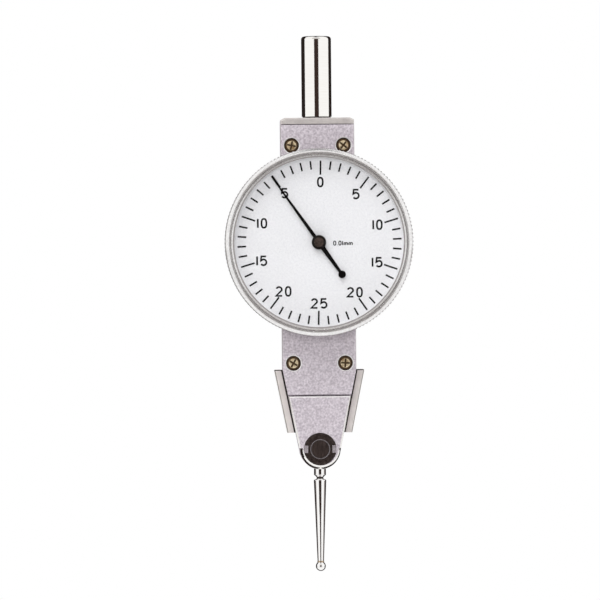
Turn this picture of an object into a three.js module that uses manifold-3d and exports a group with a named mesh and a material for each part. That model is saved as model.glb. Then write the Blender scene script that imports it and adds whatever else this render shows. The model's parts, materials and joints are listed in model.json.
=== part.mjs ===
// A lever-type dial test indicator that reads 0.01 mm a division, with its gear train inside.
//
// Lengths are in millimetres. The origin is the middle of the stem's flat end. +Z runs up along the
// stem, the dial faces -Y, and +X is on the right of somebody who reads the dial. An angle called a
// clock angle runs clockwise from twelve o'clock, seen from the front.

import * as THREE from "three";
import { mergeVertices } from "three/addons/utils/BufferGeometryUtils.js";
import Module from "manifold-3d";

const wasm = await Module();
wasm.setup();

// Fits that many pieces share
const seat = 0.05; // between two pieces that are fixed together
const runningGap = 0.1; // between a piece that turns and the one it turns in
const overrun = 2; // how far a cutter passes the face that it cuts
const weldDistance = 0.0001;

// How finely round pieces are faceted
const ringSides = 48;
const shaftSides = 24;
const screwSides = 12;
const smallSides = 8;
const ballBands = 10;

// Mounting stem
const stemRadius = 3;
const stemLength = 16.3;
const stemEndRounding = 0.6;
const stemRoundingSteps = 3;
const spigotRadius = 2.3;
const spigotLength = 8.5;

// Gear train, in line from the dial's centre down to the lever's pivot
const ballTravel = 0.5; // of the ball's centre, for one turn of the pointer
const pinionTeeth = 10;
const wheelModule = 0.15;
const wheelTeeth = 70;
const sectorModule = 0.18;
const sectorTeeth = 75; // on the full circle
const sectorTeethCut = 9;
const leverSpan = 27.35; // from the sector's axis to the lever's pivot
const leverRatio = 5.6; // the lever's long arm over the sector's tail
const restClockAngle = THREE.MathUtils.degToRad(-36);

// Gear teeth, in modules
const addendumShare = 1;
const dedendumShare = 1.25;
const tipHalfWidthShare = 0.3;
const rootHalfWidthShare = 0.9;

// Arbors and their bearings
const arborRadius = 0.45;
const journalRadius = 0.25;
const journalLength = 0.7;
const jewelRadius = 0.9;
const jewelHeight = 0.5;
const jewelGap = 0.05; // round the journal
const dialArborRadius = 0.4;

// Thicknesses of the layers, from the fork's mid-plane to the back
const forkHalfWidth = 1.45;
const leverThickness = 0.7;
const leverRoom = 0.45;
const basePlateThickness = 0.8;
const backWall = 1.2;

// Thicknesses of the layers, from the front to the gears
const frontPlateThickness = 1.4;
const screwHeadRoom = 0.15;
const bridgeThickness = 0.8;
const gearEndGap = 0.25;
const wheelThickness = 0.4;
const dialPinionLength = 1;
const sectorThickness = 0.6;
const wheelPinionLength = 1.2;
const wheelToSector = 0.7;

// Case
const dialBelowTop = 24.77;
const taperBelowTop = 50;
const endWall = 1.35;
const noseRadius = 4.03;
const noseHeight = 10.77; // from the lever's pivot up to the front plate
const wheelRoom = 0.6;
const sideWall = 1.3;
const outlineEdge = 0.25;
const topCornerWidth = 0.8;
const topCornerDrop = 0.4;
const pocketAboveDial = 8;
const pocketBelowSector = 6.2;
const pocketCorner = 1.5;
const leverPocketHalfWidth = 3;

// Dovetail rails
const railHeadWidth = 6;
const railHeight = 1.4;
const railFlankAngle = THREE.MathUtils.degToRad(30);
const railRoot = 0.3;
const railReliefWidth = 0.3; // of the groove between flank and case
const railReliefDepth = 0.5;

// Lever, its pivot and the stylus
const nutRim = 0.83; // of the nose, left round the nut
const nutStandOut = 0.2;
const nutDepth = 2.3;
const nutNotchWidth = 1.45;
const nutNotchDepth = 0.55;
const axleHeadRadius = 1.75;
const axleHeadHeight = 2.1;
const axleRadius = 1;
const axleJournalRadius = 0.7;
const axleHeadRecess = 0.15;
const bearingScrewRadius = 1.6;
const bearingScrewSlotWidth = 0.4;
const bearingScrewSlotDepth = 0.2;
const hubRadius = 3;
const forkRoom = 0.25;
const hubSideGap = 0.25;
const washerThickness = 0.25;
const washerRadius = 2.2;
const leverEyeRadius = 2.4;
const leverEyeRoom = 0.35;
const leverTopHalfWidth = 0.9;
const drivePinRadius = 0.3;
const drivePinRun = 0.1; // past the front of the sector's tail
const collarRadius = 1.25;
const collarDrop = 5.68;
const collarConeWidth = 0.45;
const collarConeHeight = 0.5;
const threadRadius = 0.5;
const threadLength = 3.1;
const contactGap = 0.15;
const contactTopRadius = 1.3;
const contactTopEdge = 0.3;
const contactTipRadius = 0.635;
const ballRadius = 1;

// Sector
const sectorHubRadius = 1.1;
const tailHalfWidth = 0.75;
const tailRun = 0.6; // past the drive pin's axis
const driveSlotGap = 0.04;
const sectorWindowInner = 2.3;
const sectorWindowRim = 1.2;
const sectorWindowHalfAngle = THREE.MathUtils.degToRad(10);

// Wheel
const wheelWindows = 5;
const wheelWindowRadius = 1.15;
const wheelWindowCircle = 3;

// Hairspring
const springInnerRadius = 0.95;
const springPitch = 0.5;
const springTurns = 4.5;
const springStrip = 0.12;
const springWidth = 0.4;
const springStepsPerTurn = 16;
const springFromBase = 1.3;
const colletRadius = 0.85;
const studRadius = 0.4;

// Screws
const screwEdgeShare = 0.25; // of the head's height, chamfered
const plateScrewInset = 2.15; // from the case's side
const plateScrewDrop = 4.15; // from the front plate's top edge
const plateScrewRise = 6.3; // from the front plate's bottom edge
const plateScrew = {
  headRadius: 1.42,
  headHeight: 0.85,
  shankRadius: 0.7,
  shankLength: 3.2,
  driveWidth: 0.4,
  driveLength: 1.7,
  driveDepth: 0.4,
  sides: screwSides,
};
const smallScrew = {
  headRadius: 0.9,
  headHeight: 0.5,
  shankRadius: 0.4,
  shankLength: 1.4,
  driveWidth: 0.3,
  driveLength: 1.8,
  driveDepth: 0.2,
  sides: smallSides,
};
const panScrewCircleRadius = 5.2;
const pillarRadius = 0.8;
const pillarInset = 1.5;
const topPillarRise = 3.4;
const lowPillarDrop = 2.8;
const plateRoom = 0.35;
const bridgeRise = 4.6;
const bridgeDrop = 4.1;

// Dial and bezel
const bezelRadius = 18.65;
const bezelWall = 1.15;
const bezelRearGap = 0.4;
const bezelDepth = 6.5;
const bezelFrontEdge = 0.35;
const bezelSideEdge = 0.25;
const bezelFaceWidth = 0.6;
const bezelLipDrop = 0.35;
const crystalRimWidth = 0.3; // of the bezel, between the crystal's edge and the bore's line
const crystalThickness = 1;
const crystalEdge = 0.15;
const shoulderWidth = 0.45;
const shoulderThickness = 1.75;
const dialStep = 0.6; // from the bore in to the dial's seat
const dialThickness = 0.4;
const dialHoleRadius = 1.2;
const dialRingWidth = 1.3;
const dialRingThickness = 0.4;
const panWall = 0.8;
const panFloor = 0.5;
const panDepth = 2.45;
const panHoleRadius = 1.5;
const snapWireRadius = 0.25;
const snapWireFromPanFloor = 1.05;
const snapWireOpening = THREE.MathUtils.degToRad(20);
const snapWireSteps = 40;
const snapWireSides = 6;

// Pointer
const pointerEndGap = 0.45; // from the tip to the bezel's opening
const pointerThickness = 0.25;
const pointerTipWidth = 0.25;
const pointerRootWidth = 0.6;
const pointerTailLength = 7.9;
const pointerTailWidth = 0.9;
const pointerTailEndWidth = 0.6;
const pointerDiscRadius = 0.74;
const pointerAboveDial = 0.6;
const pointerEyeRadius = 1.25;
const pointerCapRadius = 1.43;
const pointerCapHeight = 0.6;
const pointerCapEdge = 0.15;
const pointerNeckRadius = 0.75;
const pointerNeckLength = 0.5;

// Heights along the stem's line
const caseTop = -stemLength;
const dialZ = caseTop - dialBelowTop;
const taperZ = caseTop - taperBelowTop;
const wheelZ = dialZ - (wheelModule * (wheelTeeth + pinionTeeth)) / 2;
const sectorZ = wheelZ - (sectorModule * (sectorTeeth + pinionTeeth)) / 2;
const pivotZ = sectorZ - leverSpan;
const forkTop = pivotZ + hubRadius + forkRoom;
const plateTop = caseTop - endWall;
const plateBottom = pivotZ + noseHeight;
const pocketTop = dialZ + pocketAboveDial;
const pocketBottom = sectorZ - pocketBelowSector;
const leverPocketBottom = plateBottom + outlineEdge;

// The lever drives the sector's tail, so the whole train turns the pointer this much faster
const trainRatio = (wheelTeeth / pinionTeeth) * (sectorTeeth / pinionTeeth) * leverRatio;
const contactRadius = (ballTravel * trainRatio) / (2 * Math.PI);
const tailLength = leverSpan / (leverRatio + 1);
const leverLength = leverSpan - tailLength;

// Levels from the front to the back
const leverFront = forkHalfWidth + seat;
const leverBack = leverFront + leverThickness;
const basePlateFront = leverBack + leverRoom;
const pocketFloor = basePlateFront + basePlateThickness + seat;
const caseBack = pocketFloor + backWall;
const caseFront = -caseBack;
const pocketFront = caseFront + frontPlateThickness;
const bridgeFront = pocketFront + smallScrew.headHeight + screwHeadRoom;
const bridgeBack = bridgeFront + bridgeThickness;
const wheelFront = bridgeBack + gearEndGap + (dialPinionLength - wheelThickness) / 2;
const sectorFront = wheelFront + wheelThickness + wheelToSector;
const panBack = caseFront - seat;
const panFront = panBack - panFloor;
const bezelBack = caseFront - bezelRearGap;
const bezelFront = bezelBack - bezelDepth;
const crystalFront = bezelFront + bezelFrontEdge + runningGap;
const crystalBack = crystalFront + crystalThickness;
const dialFront = crystalBack + shoulderThickness + seat;
const dialBack = dialFront + dialThickness;
const dialRingBack = dialBack + seat + dialRingThickness;
const pointerFront = dialFront - pointerAboveDial - pointerThickness;
const snapWireLevel = panFront - snapWireFromPanFloor;

// Half widths of the case and its pocket follow from the wheel that turns in it
const wheelTipRadius = wheelModule * (wheelTeeth / 2 + addendumShare);
const pocketHalfWidth = wheelTipRadius + wheelRoom;
const caseHalfWidth = pocketHalfWidth + sideWall;
const nutRadius = noseRadius - nutRim;
const plateScrewX = caseHalfWidth - plateScrewInset;
const pillarX = pocketHalfWidth - pillarInset;

// From the bezel's outside in to the pointer's tip
const bezelBore = bezelRadius - bezelWall;
const panRadius = bezelBore - runningGap;
const bezelFaceRadius = bezelRadius - bezelSideEdge;
const crystalRadius = bezelBore - crystalRimWidth;
const openingRadius = crystalRadius - shoulderWidth;
const dialRadius = bezelBore - dialStep;
const pointerLength = openingRadius - pointerEndGap;

// The case's sides run down to touch the round nose
const sideReach = Math.hypot(caseHalfWidth, taperZ - pivotZ);
const taperAngle =
  Math.atan2(caseHalfWidth, taperZ - pivotZ) +
  Math.acos(noseRadius / sideReach) -
  Math.PI / 2;

// Finishes
const satinChrome = { color: 0xb8b0b7, roughness: 0.5, metalness: 0.7 };
const brightChrome = { color: 0xe6e5e2, roughness: 0.12, metalness: 1 };
const brightSteel = { color: 0xc9c8c6, roughness: 0.3, metalness: 1 };
const bezelMetal = { color: 0xd9d7d6, roughness: 0.3, metalness: 0.9 };
const blackSteel = { color: 0x2b2421, roughness: 0.4, metalness: 0.7 };
const darkBrass = { color: 0x8d7a63, roughness: 0.35, metalness: 0.9 };
const brass = { color: 0xc9a45a, roughness: 0.35, metalness: 1 };
const blueSteel = { color: 0x3a4a66, roughness: 0.3, metalness: 1 };
const ruby = { color: 0xa01030, roughness: 0.1, metalness: 0 };
const dialWhite = { color: 0xf2f1f3, roughness: 0.6, metalness: 0 };
const blackPaint = { color: 0x161415, roughness: 0.5, metalness: 0 };
const clear = { color: 0xffffff, roughness: 0.05, metalness: 0, transparent: true, opacity: 0.3 };

// A closed three.js geometry as a solid that can be joined and cut
function toSolid(geometry) {
  const bare = new THREE.BufferGeometry();
  bare.setAttribute("position", geometry.getAttribute("position"));
  bare.setIndex(geometry.index);
  const welded = mergeVertices(bare, weldDistance);
  return new wasm.Manifold(
    new wasm.Mesh({
      numProp: 3,
      vertProperties: welded.getAttribute("position").array,
      triVerts: new Uint32Array(welded.index.array),
    }),
  );
}

function toGeometry(solid) {
  const { vertProperties, triVerts } = solid.getMesh();
  const shared = new THREE.BufferGeometry();
  shared.setAttribute("position", new THREE.BufferAttribute(vertProperties, 3));
  shared.setIndex(new THREE.BufferAttribute(triVerts, 1));
  const flat = shared.toNonIndexed();
  flat.computeVertexNormals();
  return flat;
}

function piece(name, solid, finish, { x = 0, y = 0, z = 0, turn = 0 } = {}) {
  const mesh = new THREE.Mesh(toGeometry(solid), new THREE.MeshStandardMaterial(finish));
  mesh.name = name;
  mesh.position.set(x, y, z);
  mesh.rotation.y = turn;
  return mesh;
}

function join(first, ...others) {
  return others.reduce((whole, other) => whole.add(other), first);
}

function cut(first, ...others) {
  return others.reduce((rest, other) => rest.subtract(other), first);
}

// A flat outline in X and Z, as thick as the step from front to back, with an optional edge chamfer
function slab(outline, front, back, edge = 0) {
  const geometry = new THREE.ExtrudeGeometry(outline, {
    depth: back - front - 2 * edge,
    bevelEnabled: edge > 0,
    bevelThickness: edge,
    bevelSize: edge,
    bevelOffset: -edge,
    bevelSegments: 1,
    curveSegments: smallSides / 2,
  });
  geometry.rotateX(Math.PI / 2);
  geometry.translate(0, back - edge, 0);
  return toSolid(geometry);
}

function block(left, right, front, back, bottom, top) {
  const geometry = new THREE.BoxGeometry(right - left, back - front, top - bottom);
  geometry.translate((left + right) / 2, (front + back) / 2, (bottom + top) / 2);
  return toSolid(geometry);
}

// A profile of [radius, level] points, in order round its section, turned about a line along Y
function turned(profile, sides = shaftSides, x = 0, z = 0) {
  const points = [...profile, profile[0]].map(([radius, level]) => new THREE.Vector2(radius, level));
  const geometry = new THREE.LatheGeometry(points, sides);
  geometry.translate(x, 0, z);
  return toSolid(geometry);
}

function upright(profile, sides = shaftSides) {
  const points = [...profile, profile[0]].map(([radius, height]) => new THREE.Vector2(radius, -height));
  const geometry = new THREE.LatheGeometry(points.reverse(), sides);
  geometry.rotateX(-Math.PI / 2);
  return toSolid(geometry);
}

function disc(radius, front, back, { x = 0, z = 0, sides = shaftSides } = {}) {
  return turned([[0, front], [radius, front], [radius, back], [0, back]], sides, x, z);
}

function ring(outer, inner, front, back, sides = shaftSides) {
  return turned([[inner, front], [outer, front], [outer, back], [inner, back]], sides);
}

function polar(radius, clockAngle) {
  return [radius * Math.sin(clockAngle), radius * Math.cos(clockAngle)];
}

function outlineOf(points) {
  return new THREE.Shape(points.map(([x, z]) => new THREE.Vector2(x, z)));
}

// A faceted hole whose flats, not its corners, lie at the radius
function roundHole(radius, x = 0, z = 0) {
  const corner = radius / Math.cos(Math.PI / smallSides);
  return new THREE.Path().absarc(x, z, corner, 0, 2 * Math.PI, false);
}

// A rectangle with round corners, centred on the stem's line
function roundedOutline(halfWidth, bottom, top, corner) {
  const shape = new THREE.Shape();
  const right = Math.PI / 2;
  shape.absarc(halfWidth - corner, top - corner, corner, right, 0, true);
  shape.absarc(halfWidth - corner, bottom + corner, corner, 0, -right, true);
  shape.absarc(-halfWidth + corner, bottom + corner, corner, -right, -2 * right, true);
  shape.absarc(-halfWidth + corner, top - corner, corner, 2 * right, right, true);
  return shape;
}

// The four corners of one tooth, from its left root to its right root
function toothCorners(module, teeth, clockAngle) {
  const tip = module * (teeth / 2 + addendumShare);
  const root = module * (teeth / 2 - dedendumShare);
  const tipHalfAngle = (module * tipHalfWidthShare) / tip;
  const rootHalfAngle = (module * rootHalfWidthShare) / root;
  return [
    polar(root, clockAngle - rootHalfAngle),
    polar(tip, clockAngle - tipHalfAngle),
    polar(tip, clockAngle + tipHalfAngle),
    polar(root, clockAngle + rootHalfAngle),
  ];
}

function gearOutline(module, teeth, firstClockAngle) {
  const points = [];
  for (let tooth = 0; tooth < teeth; tooth += 1) {
    points.push(...toothCorners(module, teeth, firstClockAngle + (tooth * 2 * Math.PI) / teeth));
  }
  return outlineOf(points);
}

// A pinion's space faces straight down, where the larger gear's tooth points up into it
function pinion(module, front, back) {
  const halfTooth = Math.PI / pinionTeeth;
  return slab(gearOutline(module, pinionTeeth, Math.PI + halfTooth), front, back);
}

// A shaft with a thinner journal at each end that turns in the jewels of the two plates
function arbor(radius, frontJournal = journalRadius) {
  const front = bridgeFront + seat;
  const back = basePlateFront + basePlateThickness - seat;
  const shoulderFront = bridgeFront + journalLength + gearEndGap;
  const shoulderBack = basePlateFront + basePlateThickness - journalLength - gearEndGap;
  return turned(
    [
      [0, front],
      [frontJournal, front],
      [frontJournal, shoulderFront],
      [radius, shoulderFront],
      [radius, shoulderBack],
      [journalRadius, shoulderBack],
      [journalRadius, back],
      [0, back],
    ],
    smallSides,
  );
}

// A screw whose head seats at level zero and whose shank points back, with one or two drive slots
function screw(size, slots) {
  const edge = size.headHeight * screwEdgeShare;
  const body = turned(
    [
      [0, -size.headHeight],
      [size.headRadius - edge, -size.headHeight],
      [size.headRadius, -size.headHeight + edge],
      [size.headRadius, 0],
      [size.shankRadius, 0],
      [size.shankRadius, size.shankLength],
      [0, size.shankLength],
    ],
    size.sides,
  );
  const long = size.driveLength / 2;
  const wide = size.driveWidth / 2;
  const bottom = size.driveDepth - size.headHeight;
  const top = -size.headHeight - overrun;
  const upSlot = block(-wide, wide, top, bottom, -long, long);
  const sideSlot = block(-long, long, top, bottom, -wide, wide);
  return slots === 2 ? cut(body, upSlot, sideSlot) : cut(body, upSlot);
}

function screwHole(size, front, back, x, z) {
  return disc(size.shankRadius + runningGap, front, back, { x, z, sides: size.sides });
}

// Places of the screws, as [x, z]
const plateScrewPlaces = [
  [-plateScrewX, plateTop - plateScrewDrop],
  [plateScrewX, plateTop - plateScrewDrop],
  [-plateScrewX, plateBottom + plateScrewRise],
  [plateScrewX, plateBottom + plateScrewRise],
];
const panScrewPlaces = [0, 1, 2].map((third) => polar(panScrewCircleRadius, (third * 2 * Math.PI) / 3));
const pillarPlaces = [
  [-pillarX, dialZ + topPillarRise],
  [pillarX, dialZ + topPillarRise],
  [pillarX, sectorZ - lowPillarDrop],
];
const baseScrewPlaces = [
  [0, pocketTop - pillarInset],
  [-pillarX, sectorZ - lowPillarDrop],
];

// The case and its front plate are cut from this one chamfered outline
function caseOutline() {
  const shape = new THREE.Shape();
  shape.moveTo(-caseHalfWidth + topCornerWidth, caseTop);
  shape.lineTo(caseHalfWidth - topCornerWidth, caseTop);
  shape.lineTo(caseHalfWidth, caseTop - topCornerDrop);
  shape.lineTo(caseHalfWidth, taperZ);
  shape.absarc(0, pivotZ, noseRadius, -taperAngle, taperAngle - Math.PI, true);
  shape.lineTo(-caseHalfWidth, taperZ);
  shape.lineTo(-caseHalfWidth, caseTop - topCornerDrop);
  return shape;
}

function caseBlank() {
  return slab(caseOutline(), caseFront, caseBack, outlineEdge);
}

// A dovetail rail along one sloping side, with a relief groove at the foot of each flank. Side is 1 on
// the right and -1 on the left.
function rail(side) {
  const head = railHeadWidth / 2;
  const neck = head - (railHeight - railReliefWidth) * Math.tan(railFlankAngle);
  const root = neck - railReliefDepth;
  const section = outlineOf([
    [-railRoot, -root],
    [railReliefWidth, -root],
    [railReliefWidth, -neck],
    [railHeight, -head],
    [railHeight, head],
    [railReliefWidth, neck],
    [railReliefWidth, root],
    [-railRoot, root],
  ]);
  const length = 2 * (taperZ - pivotZ);
  const geometry = new THREE.ExtrudeGeometry(section, { depth: length, bevelEnabled: false });
  geometry.translate(0, 0, -length / 2);
  geometry.rotateY(side > 0 ? taperAngle : Math.PI - taperAngle);
  geometry.translate(side * caseHalfWidth, 0, taperZ);
  const reach = caseHalfWidth + railHeight + overrun;
  return toSolid(geometry).intersect(block(-reach, reach, caseFront, caseBack, forkTop, taperZ));
}

function caseBody() {
  const farSide = caseHalfWidth + railHeight + overrun;
  const farFront = caseFront - overrun;
  const leverPocketFloor = leverBack + leverRoom;
  const leverSlotHalfWidth = leverEyeRadius + leverEyeRoom;
  const leverSlotFront = leverFront - leverEyeRoom;
  const atPivot = { z: pivotZ };
  return cut(
    join(caseBlank(), rail(1), rail(-1)),
    block(-farSide, farSide, farFront, pocketFront, plateBottom, plateTop),
    slab(roundedOutline(pocketHalfWidth, pocketBottom, pocketTop, pocketCorner), farFront, pocketFloor),
    block(
      -leverPocketHalfWidth,
      leverPocketHalfWidth,
      farFront,
      leverPocketFloor,
      leverPocketBottom,
      pocketBottom + overrun,
    ),
    block(
      -leverSlotHalfWidth,
      leverSlotHalfWidth,
      leverSlotFront,
      leverPocketFloor,
      pivotZ,
      leverPocketBottom + overrun,
    ),
    disc(leverSlotHalfWidth, 0, leverPocketFloor, atPivot),
    block(-farSide, farSide, -forkHalfWidth, forkHalfWidth, pivotZ - noseRadius - overrun, forkTop),
    disc(nutRadius + seat, farFront, caseFront + nutDepth + seat, atPivot),
    disc(axleRadius + runningGap, farFront, 0, atPivot),
    disc(bearingScrewRadius + seat, 0, caseBack + overrun, atPivot),
    upright([
      [0, caseTop + overrun],
      [0, caseTop - spigotLength - seat],
      [spigotRadius + seat, caseTop - spigotLength - seat],
      [spigotRadius + seat, caseTop + overrun],
    ]),
    ...plateScrewPlaces.map(([x, z]) =>
      screwHole(plateScrew, farFront, pocketFront + plateScrew.shankLength, x, z),
    ),
    ...baseScrewPlaces.map(([x, z]) =>
      screwHole(smallScrew, 0, basePlateFront + smallScrew.shankLength + seat, x, z),
    ),
  );
}

function frontPlate() {
  const farSide = caseHalfWidth + overrun;
  const farFront = caseFront - overrun;
  const back = pocketFront - seat;
  const counterbore = plateScrew.headRadius + runningGap;
  const counterboreFloor = caseFront + plateScrew.headHeight + seat;
  const blank = caseBlank().intersect(
    block(-farSide, farSide, farFront, back, plateBottom + seat, plateTop - seat),
  );
  return cut(
    blank,
    disc(dialHoleRadius, farFront, back + overrun, { z: dialZ }),
    ...plateScrewPlaces.flatMap(([x, z]) => [
      disc(counterbore, farFront, counterboreFloor, { x, z, sides: screwSides }),
      screwHole(plateScrew, farFront, back + overrun, x, z),
    ]),
    ...panScrewPlaces.map(([x, z]) => screwHole(smallScrew, farFront, back + overrun, x, dialZ + z)),
  );
}

function stem() {
  const end = [];
  for (let step = 0; step <= stemRoundingSteps; step += 1) {
    const angle = ((step / stemRoundingSteps) * Math.PI) / 2;
    end.push([
      stemRadius - stemEndRounding * (1 - Math.cos(angle)),
      -stemEndRounding * (1 - Math.sin(angle)),
    ]);
  }
  return upright([
    [0, 0],
    [0, caseTop - spigotLength],
    [spigotRadius, caseTop - spigotLength],
    [spigotRadius, caseTop + seat],
    [stemRadius, caseTop + seat],
    ...end,
  ]);
}

// The movement's two plates share the pocket's outline, drawn in by a little room
function movementPlate(bottom, top, front, thickness) {
  const shape = roundedOutline(pocketHalfWidth - plateRoom, bottom, top, pocketCorner - plateRoom);
  const back = front + thickness;
  const jewelHoles = [dialZ, wheelZ, sectorZ].map((z) =>
    disc(jewelRadius + seat, front - overrun, back + overrun, { z, sides: smallSides }),
  );
  return cut(slab(shape, front, back), ...jewelHoles);
}

function basePlate() {
  const holes = baseScrewPlaces.map(([x, z]) => screwHole(smallScrew, 0, caseBack, x, z));
  return cut(
    movementPlate(
      pocketBottom + plateRoom,
      pocketTop - plateRoom,
      basePlateFront,
      basePlateThickness,
    ),
    ...holes,
  );
}

function bridgePlate() {
  const holes = pillarPlaces.map(([x, z]) => screwHole(smallScrew, caseFront, 0, x, z));
  return cut(
    movementPlate(sectorZ - bridgeDrop, dialZ + bridgeRise, bridgeFront, bridgeThickness),
    ...holes,
  );
}

function pillar() {
  const front = bridgeBack + seat;
  return cut(
    disc(pillarRadius, front, basePlateFront - seat, { sides: smallSides }),
    screwHole(smallScrew, bridgeFront, bridgeFront + smallScrew.shankLength + seat, 0, 0),
  );
}

function jewel() {
  return ring(jewelRadius, journalRadius + jewelGap, 0, jewelHeight, smallSides);
}

// Long arbor in the middle of the dial, which carries the pointer at its front end
function dialArbor() {
  const pinionFront = bridgeBack + gearEndGap;
  const front = pointerFront - pointerCapHeight / 2;
  const nose = turned(
    [[0, front], [dialArborRadius, front], [dialArborRadius, pinionFront], [0, pinionFront]],
    smallSides,
  );
  const bearing = ring(dialArborRadius + overrun, journalRadius, bridgeFront, bridgeBack, smallSides);
  return join(
    cut(nose, bearing),
    arbor(arborRadius),
    pinion(wheelModule, pinionFront, pinionFront + dialPinionLength),
  );
}

function wheelArbor() {
  const front = sectorFront - (wheelPinionLength - sectorThickness) / 2;
  return join(arbor(arborRadius), pinion(sectorModule, front, front + wheelPinionLength));
}

function wheel() {
  const outline = gearOutline(wheelModule, wheelTeeth, 0);
  outline.holes.push(roundHole(arborRadius + seat));
  for (let window = 0; window < wheelWindows; window += 1) {
    const [x, z] = polar(wheelWindowCircle, (window * 2 * Math.PI) / wheelWindows);
    outline.holes.push(roundHole(wheelWindowRadius, x, z));
  }
  return slab(outline, wheelFront, wheelFront + wheelThickness);
}

// Toothed sector above its arbor, with a forked tail below that the lever's pin drives
function sectorGear() {
  const toothStep = (2 * Math.PI) / sectorTeeth;
  const firstTooth = (-(sectorTeethCut - 1) * toothStep) / 2;
  const root = sectorModule * (sectorTeeth / 2 - dedendumShare);
  const halfSpread = (sectorTeethCut * toothStep) / 2;
  const points = [];
  points.push(polar(root, -halfSpread));
  for (let tooth = 0; tooth < sectorTeethCut; tooth += 1) {
    points.push(...toothCorners(sectorModule, sectorTeeth, firstTooth + tooth * toothStep));
  }
  points.push(polar(root, halfSpread));
  points.push([sectorHubRadius, 0]);
  points.push([tailHalfWidth, -sectorHubRadius]);
  points.push([tailHalfWidth, -tailLength - tailRun]);
  points.push([-tailHalfWidth, -tailLength - tailRun]);
  points.push([-tailHalfWidth, -sectorHubRadius]);
  points.push([-sectorHubRadius, 0]);
  const outline = outlineOf(points);
  outline.holes.push(roundHole(arborRadius + seat));
  const inner = sectorWindowInner;
  const outer = root - sectorWindowRim;
  const window = outlineOf([
    polar(inner, sectorWindowHalfAngle),
    polar(outer, sectorWindowHalfAngle),
    polar(outer, 0),
    polar(outer, -sectorWindowHalfAngle),
    polar(inner, -sectorWindowHalfAngle),
  ]);
  outline.holes.push(window);
  const back = sectorFront + sectorThickness;
  const slotHalf = drivePinRadius + driveSlotGap;
  const bottom = -tailLength - tailRun - overrun;
  const slotTop = -tailLength + drivePinRadius + runningGap;
  const slot = block(-slotHalf, slotHalf, sectorFront - overrun, back + overrun, bottom, slotTop);
  return cut(slab(outline, sectorFront, back), slot);
}

function hairspring() {
  const steps = springTurns * springStepsPerTurn;
  const innerEdge = [];
  const outerEdge = [];
  for (let step = 0; step <= steps; step += 1) {
    const turns = step / springStepsPerTurn;
    const radius = springInnerRadius + springPitch * turns;
    innerEdge.push(polar(radius, turns * 2 * Math.PI));
    outerEdge.push(polar(radius + springStrip, turns * 2 * Math.PI));
  }
  const front = basePlateFront - springFromBase - springWidth;
  return slab(outlineOf([...innerEdge, ...outerEdge.reverse()]), front, front + springWidth);
}

function hairspringCollet() {
  const front = basePlateFront - springFromBase - springWidth;
  return ring(colletRadius, arborRadius + seat, front - seat, front + springWidth + seat, smallSides);
}

function springStud() {
  const front = basePlateFront - springFromBase - springWidth;
  return disc(studRadius, front, basePlateFront - seat, { sides: smallSides });
}

function leverArm() {
  const top = leverLength;
  const outline = new THREE.Shape();
  const lean = Math.atan2(leverEyeRadius - leverTopHalfWidth, top);
  outline.absarc(0, 0, leverEyeRadius, lean, Math.PI - lean, true);
  outline.absarc(0, top, leverTopHalfWidth, Math.PI - lean, lean, true);
  outline.holes.push(roundHole(axleRadius + seat));
  outline.holes.push(roundHole(drivePinRadius + seat, 0, top));
  return slab(outline, leverFront, leverBack);
}

function drivePin() {
  return disc(drivePinRadius, sectorFront - drivePinRun, leverBack, { sides: smallSides });
}

function pivotNut() {
  const front = caseFront - nutStandOut;
  const back = caseFront + nutDepth;
  const bore = axleHeadRadius + runningGap;
  const inner = nutRadius - nutNotchDepth;
  const notchHalf = nutNotchWidth / 2;
  const notchBottom = front + nutNotchDepth;
  const far = nutRadius + overrun;
  return cut(
    ring(nutRadius, bore, front, back),
    block(inner, far, front - overrun, notchBottom, -notchHalf, notchHalf),
    block(-far, -inner, front - overrun, notchBottom, -notchHalf, notchHalf),
  );
}

function pivotAxle() {
  const front = caseFront - nutStandOut + axleHeadRecess;
  const headBack = front + axleHeadHeight;
  const shoulder = leverBack + seat;
  const end = caseBack - axleJournalRadius;
  return turned([
    [0, front],
    [axleHeadRadius, front],
    [axleHeadRadius, headBack],
    [axleRadius, headBack],
    [axleRadius, shoulder],
    [axleJournalRadius, shoulder],
    [axleJournalRadius, end],
    [0, end],
  ]);
}

// Slotted screw in the nose's rear ear whose blind bore is the axle's rear bearing
function bearingScrew() {
  const front = leverBack + leverRoom + seat;
  const back = caseBack - seat;
  const bore = axleJournalRadius + runningGap;
  const boreEnd = caseBack - axleJournalRadius + runningGap;
  const slot = bearingScrewSlotWidth / 2;
  const far = bearingScrewRadius + overrun;
  const body = turned([
    [bore, front],
    [bearingScrewRadius, front],
    [bearingScrewRadius, back],
    [0, back],
    [0, boreEnd],
    [bore, boreEnd],
  ]);
  return cut(body, block(-far, far, back - bearingScrewSlotDepth, back + overrun, -slot, slot));
}

function clutchWasher() {
  const back = forkHalfWidth;
  return ring(washerRadius, axleRadius + runningGap, back - washerThickness, back);
}

// Round hub in the fork, with the collar below it that the contact point screws into
function stylusHub() {
  const front = -forkHalfWidth + hubSideGap;
  const back = forkHalfWidth - washerThickness - seat;
  const collarTop = -washerRadius - runningGap;
  const collar = upright([
    [0, collarTop],
    [0, -collarDrop],
    [collarRadius - collarConeWidth, -collarDrop],
    [collarRadius, -collarDrop + collarConeHeight],
    [collarRadius, collarTop],
  ]);
  const threadBore = upright([
    [0, -collarDrop + threadLength + seat],
    [0, -collarDrop - overrun],
    [threadRadius + seat, -collarDrop - overrun],
    [threadRadius + seat, -collarDrop + threadLength + seat],
  ]);
  return cut(
    join(disc(hubRadius, front, back), collar),
    disc(axleRadius + runningGap, front - overrun, back + overrun),
    threadBore,
  );
}

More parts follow.
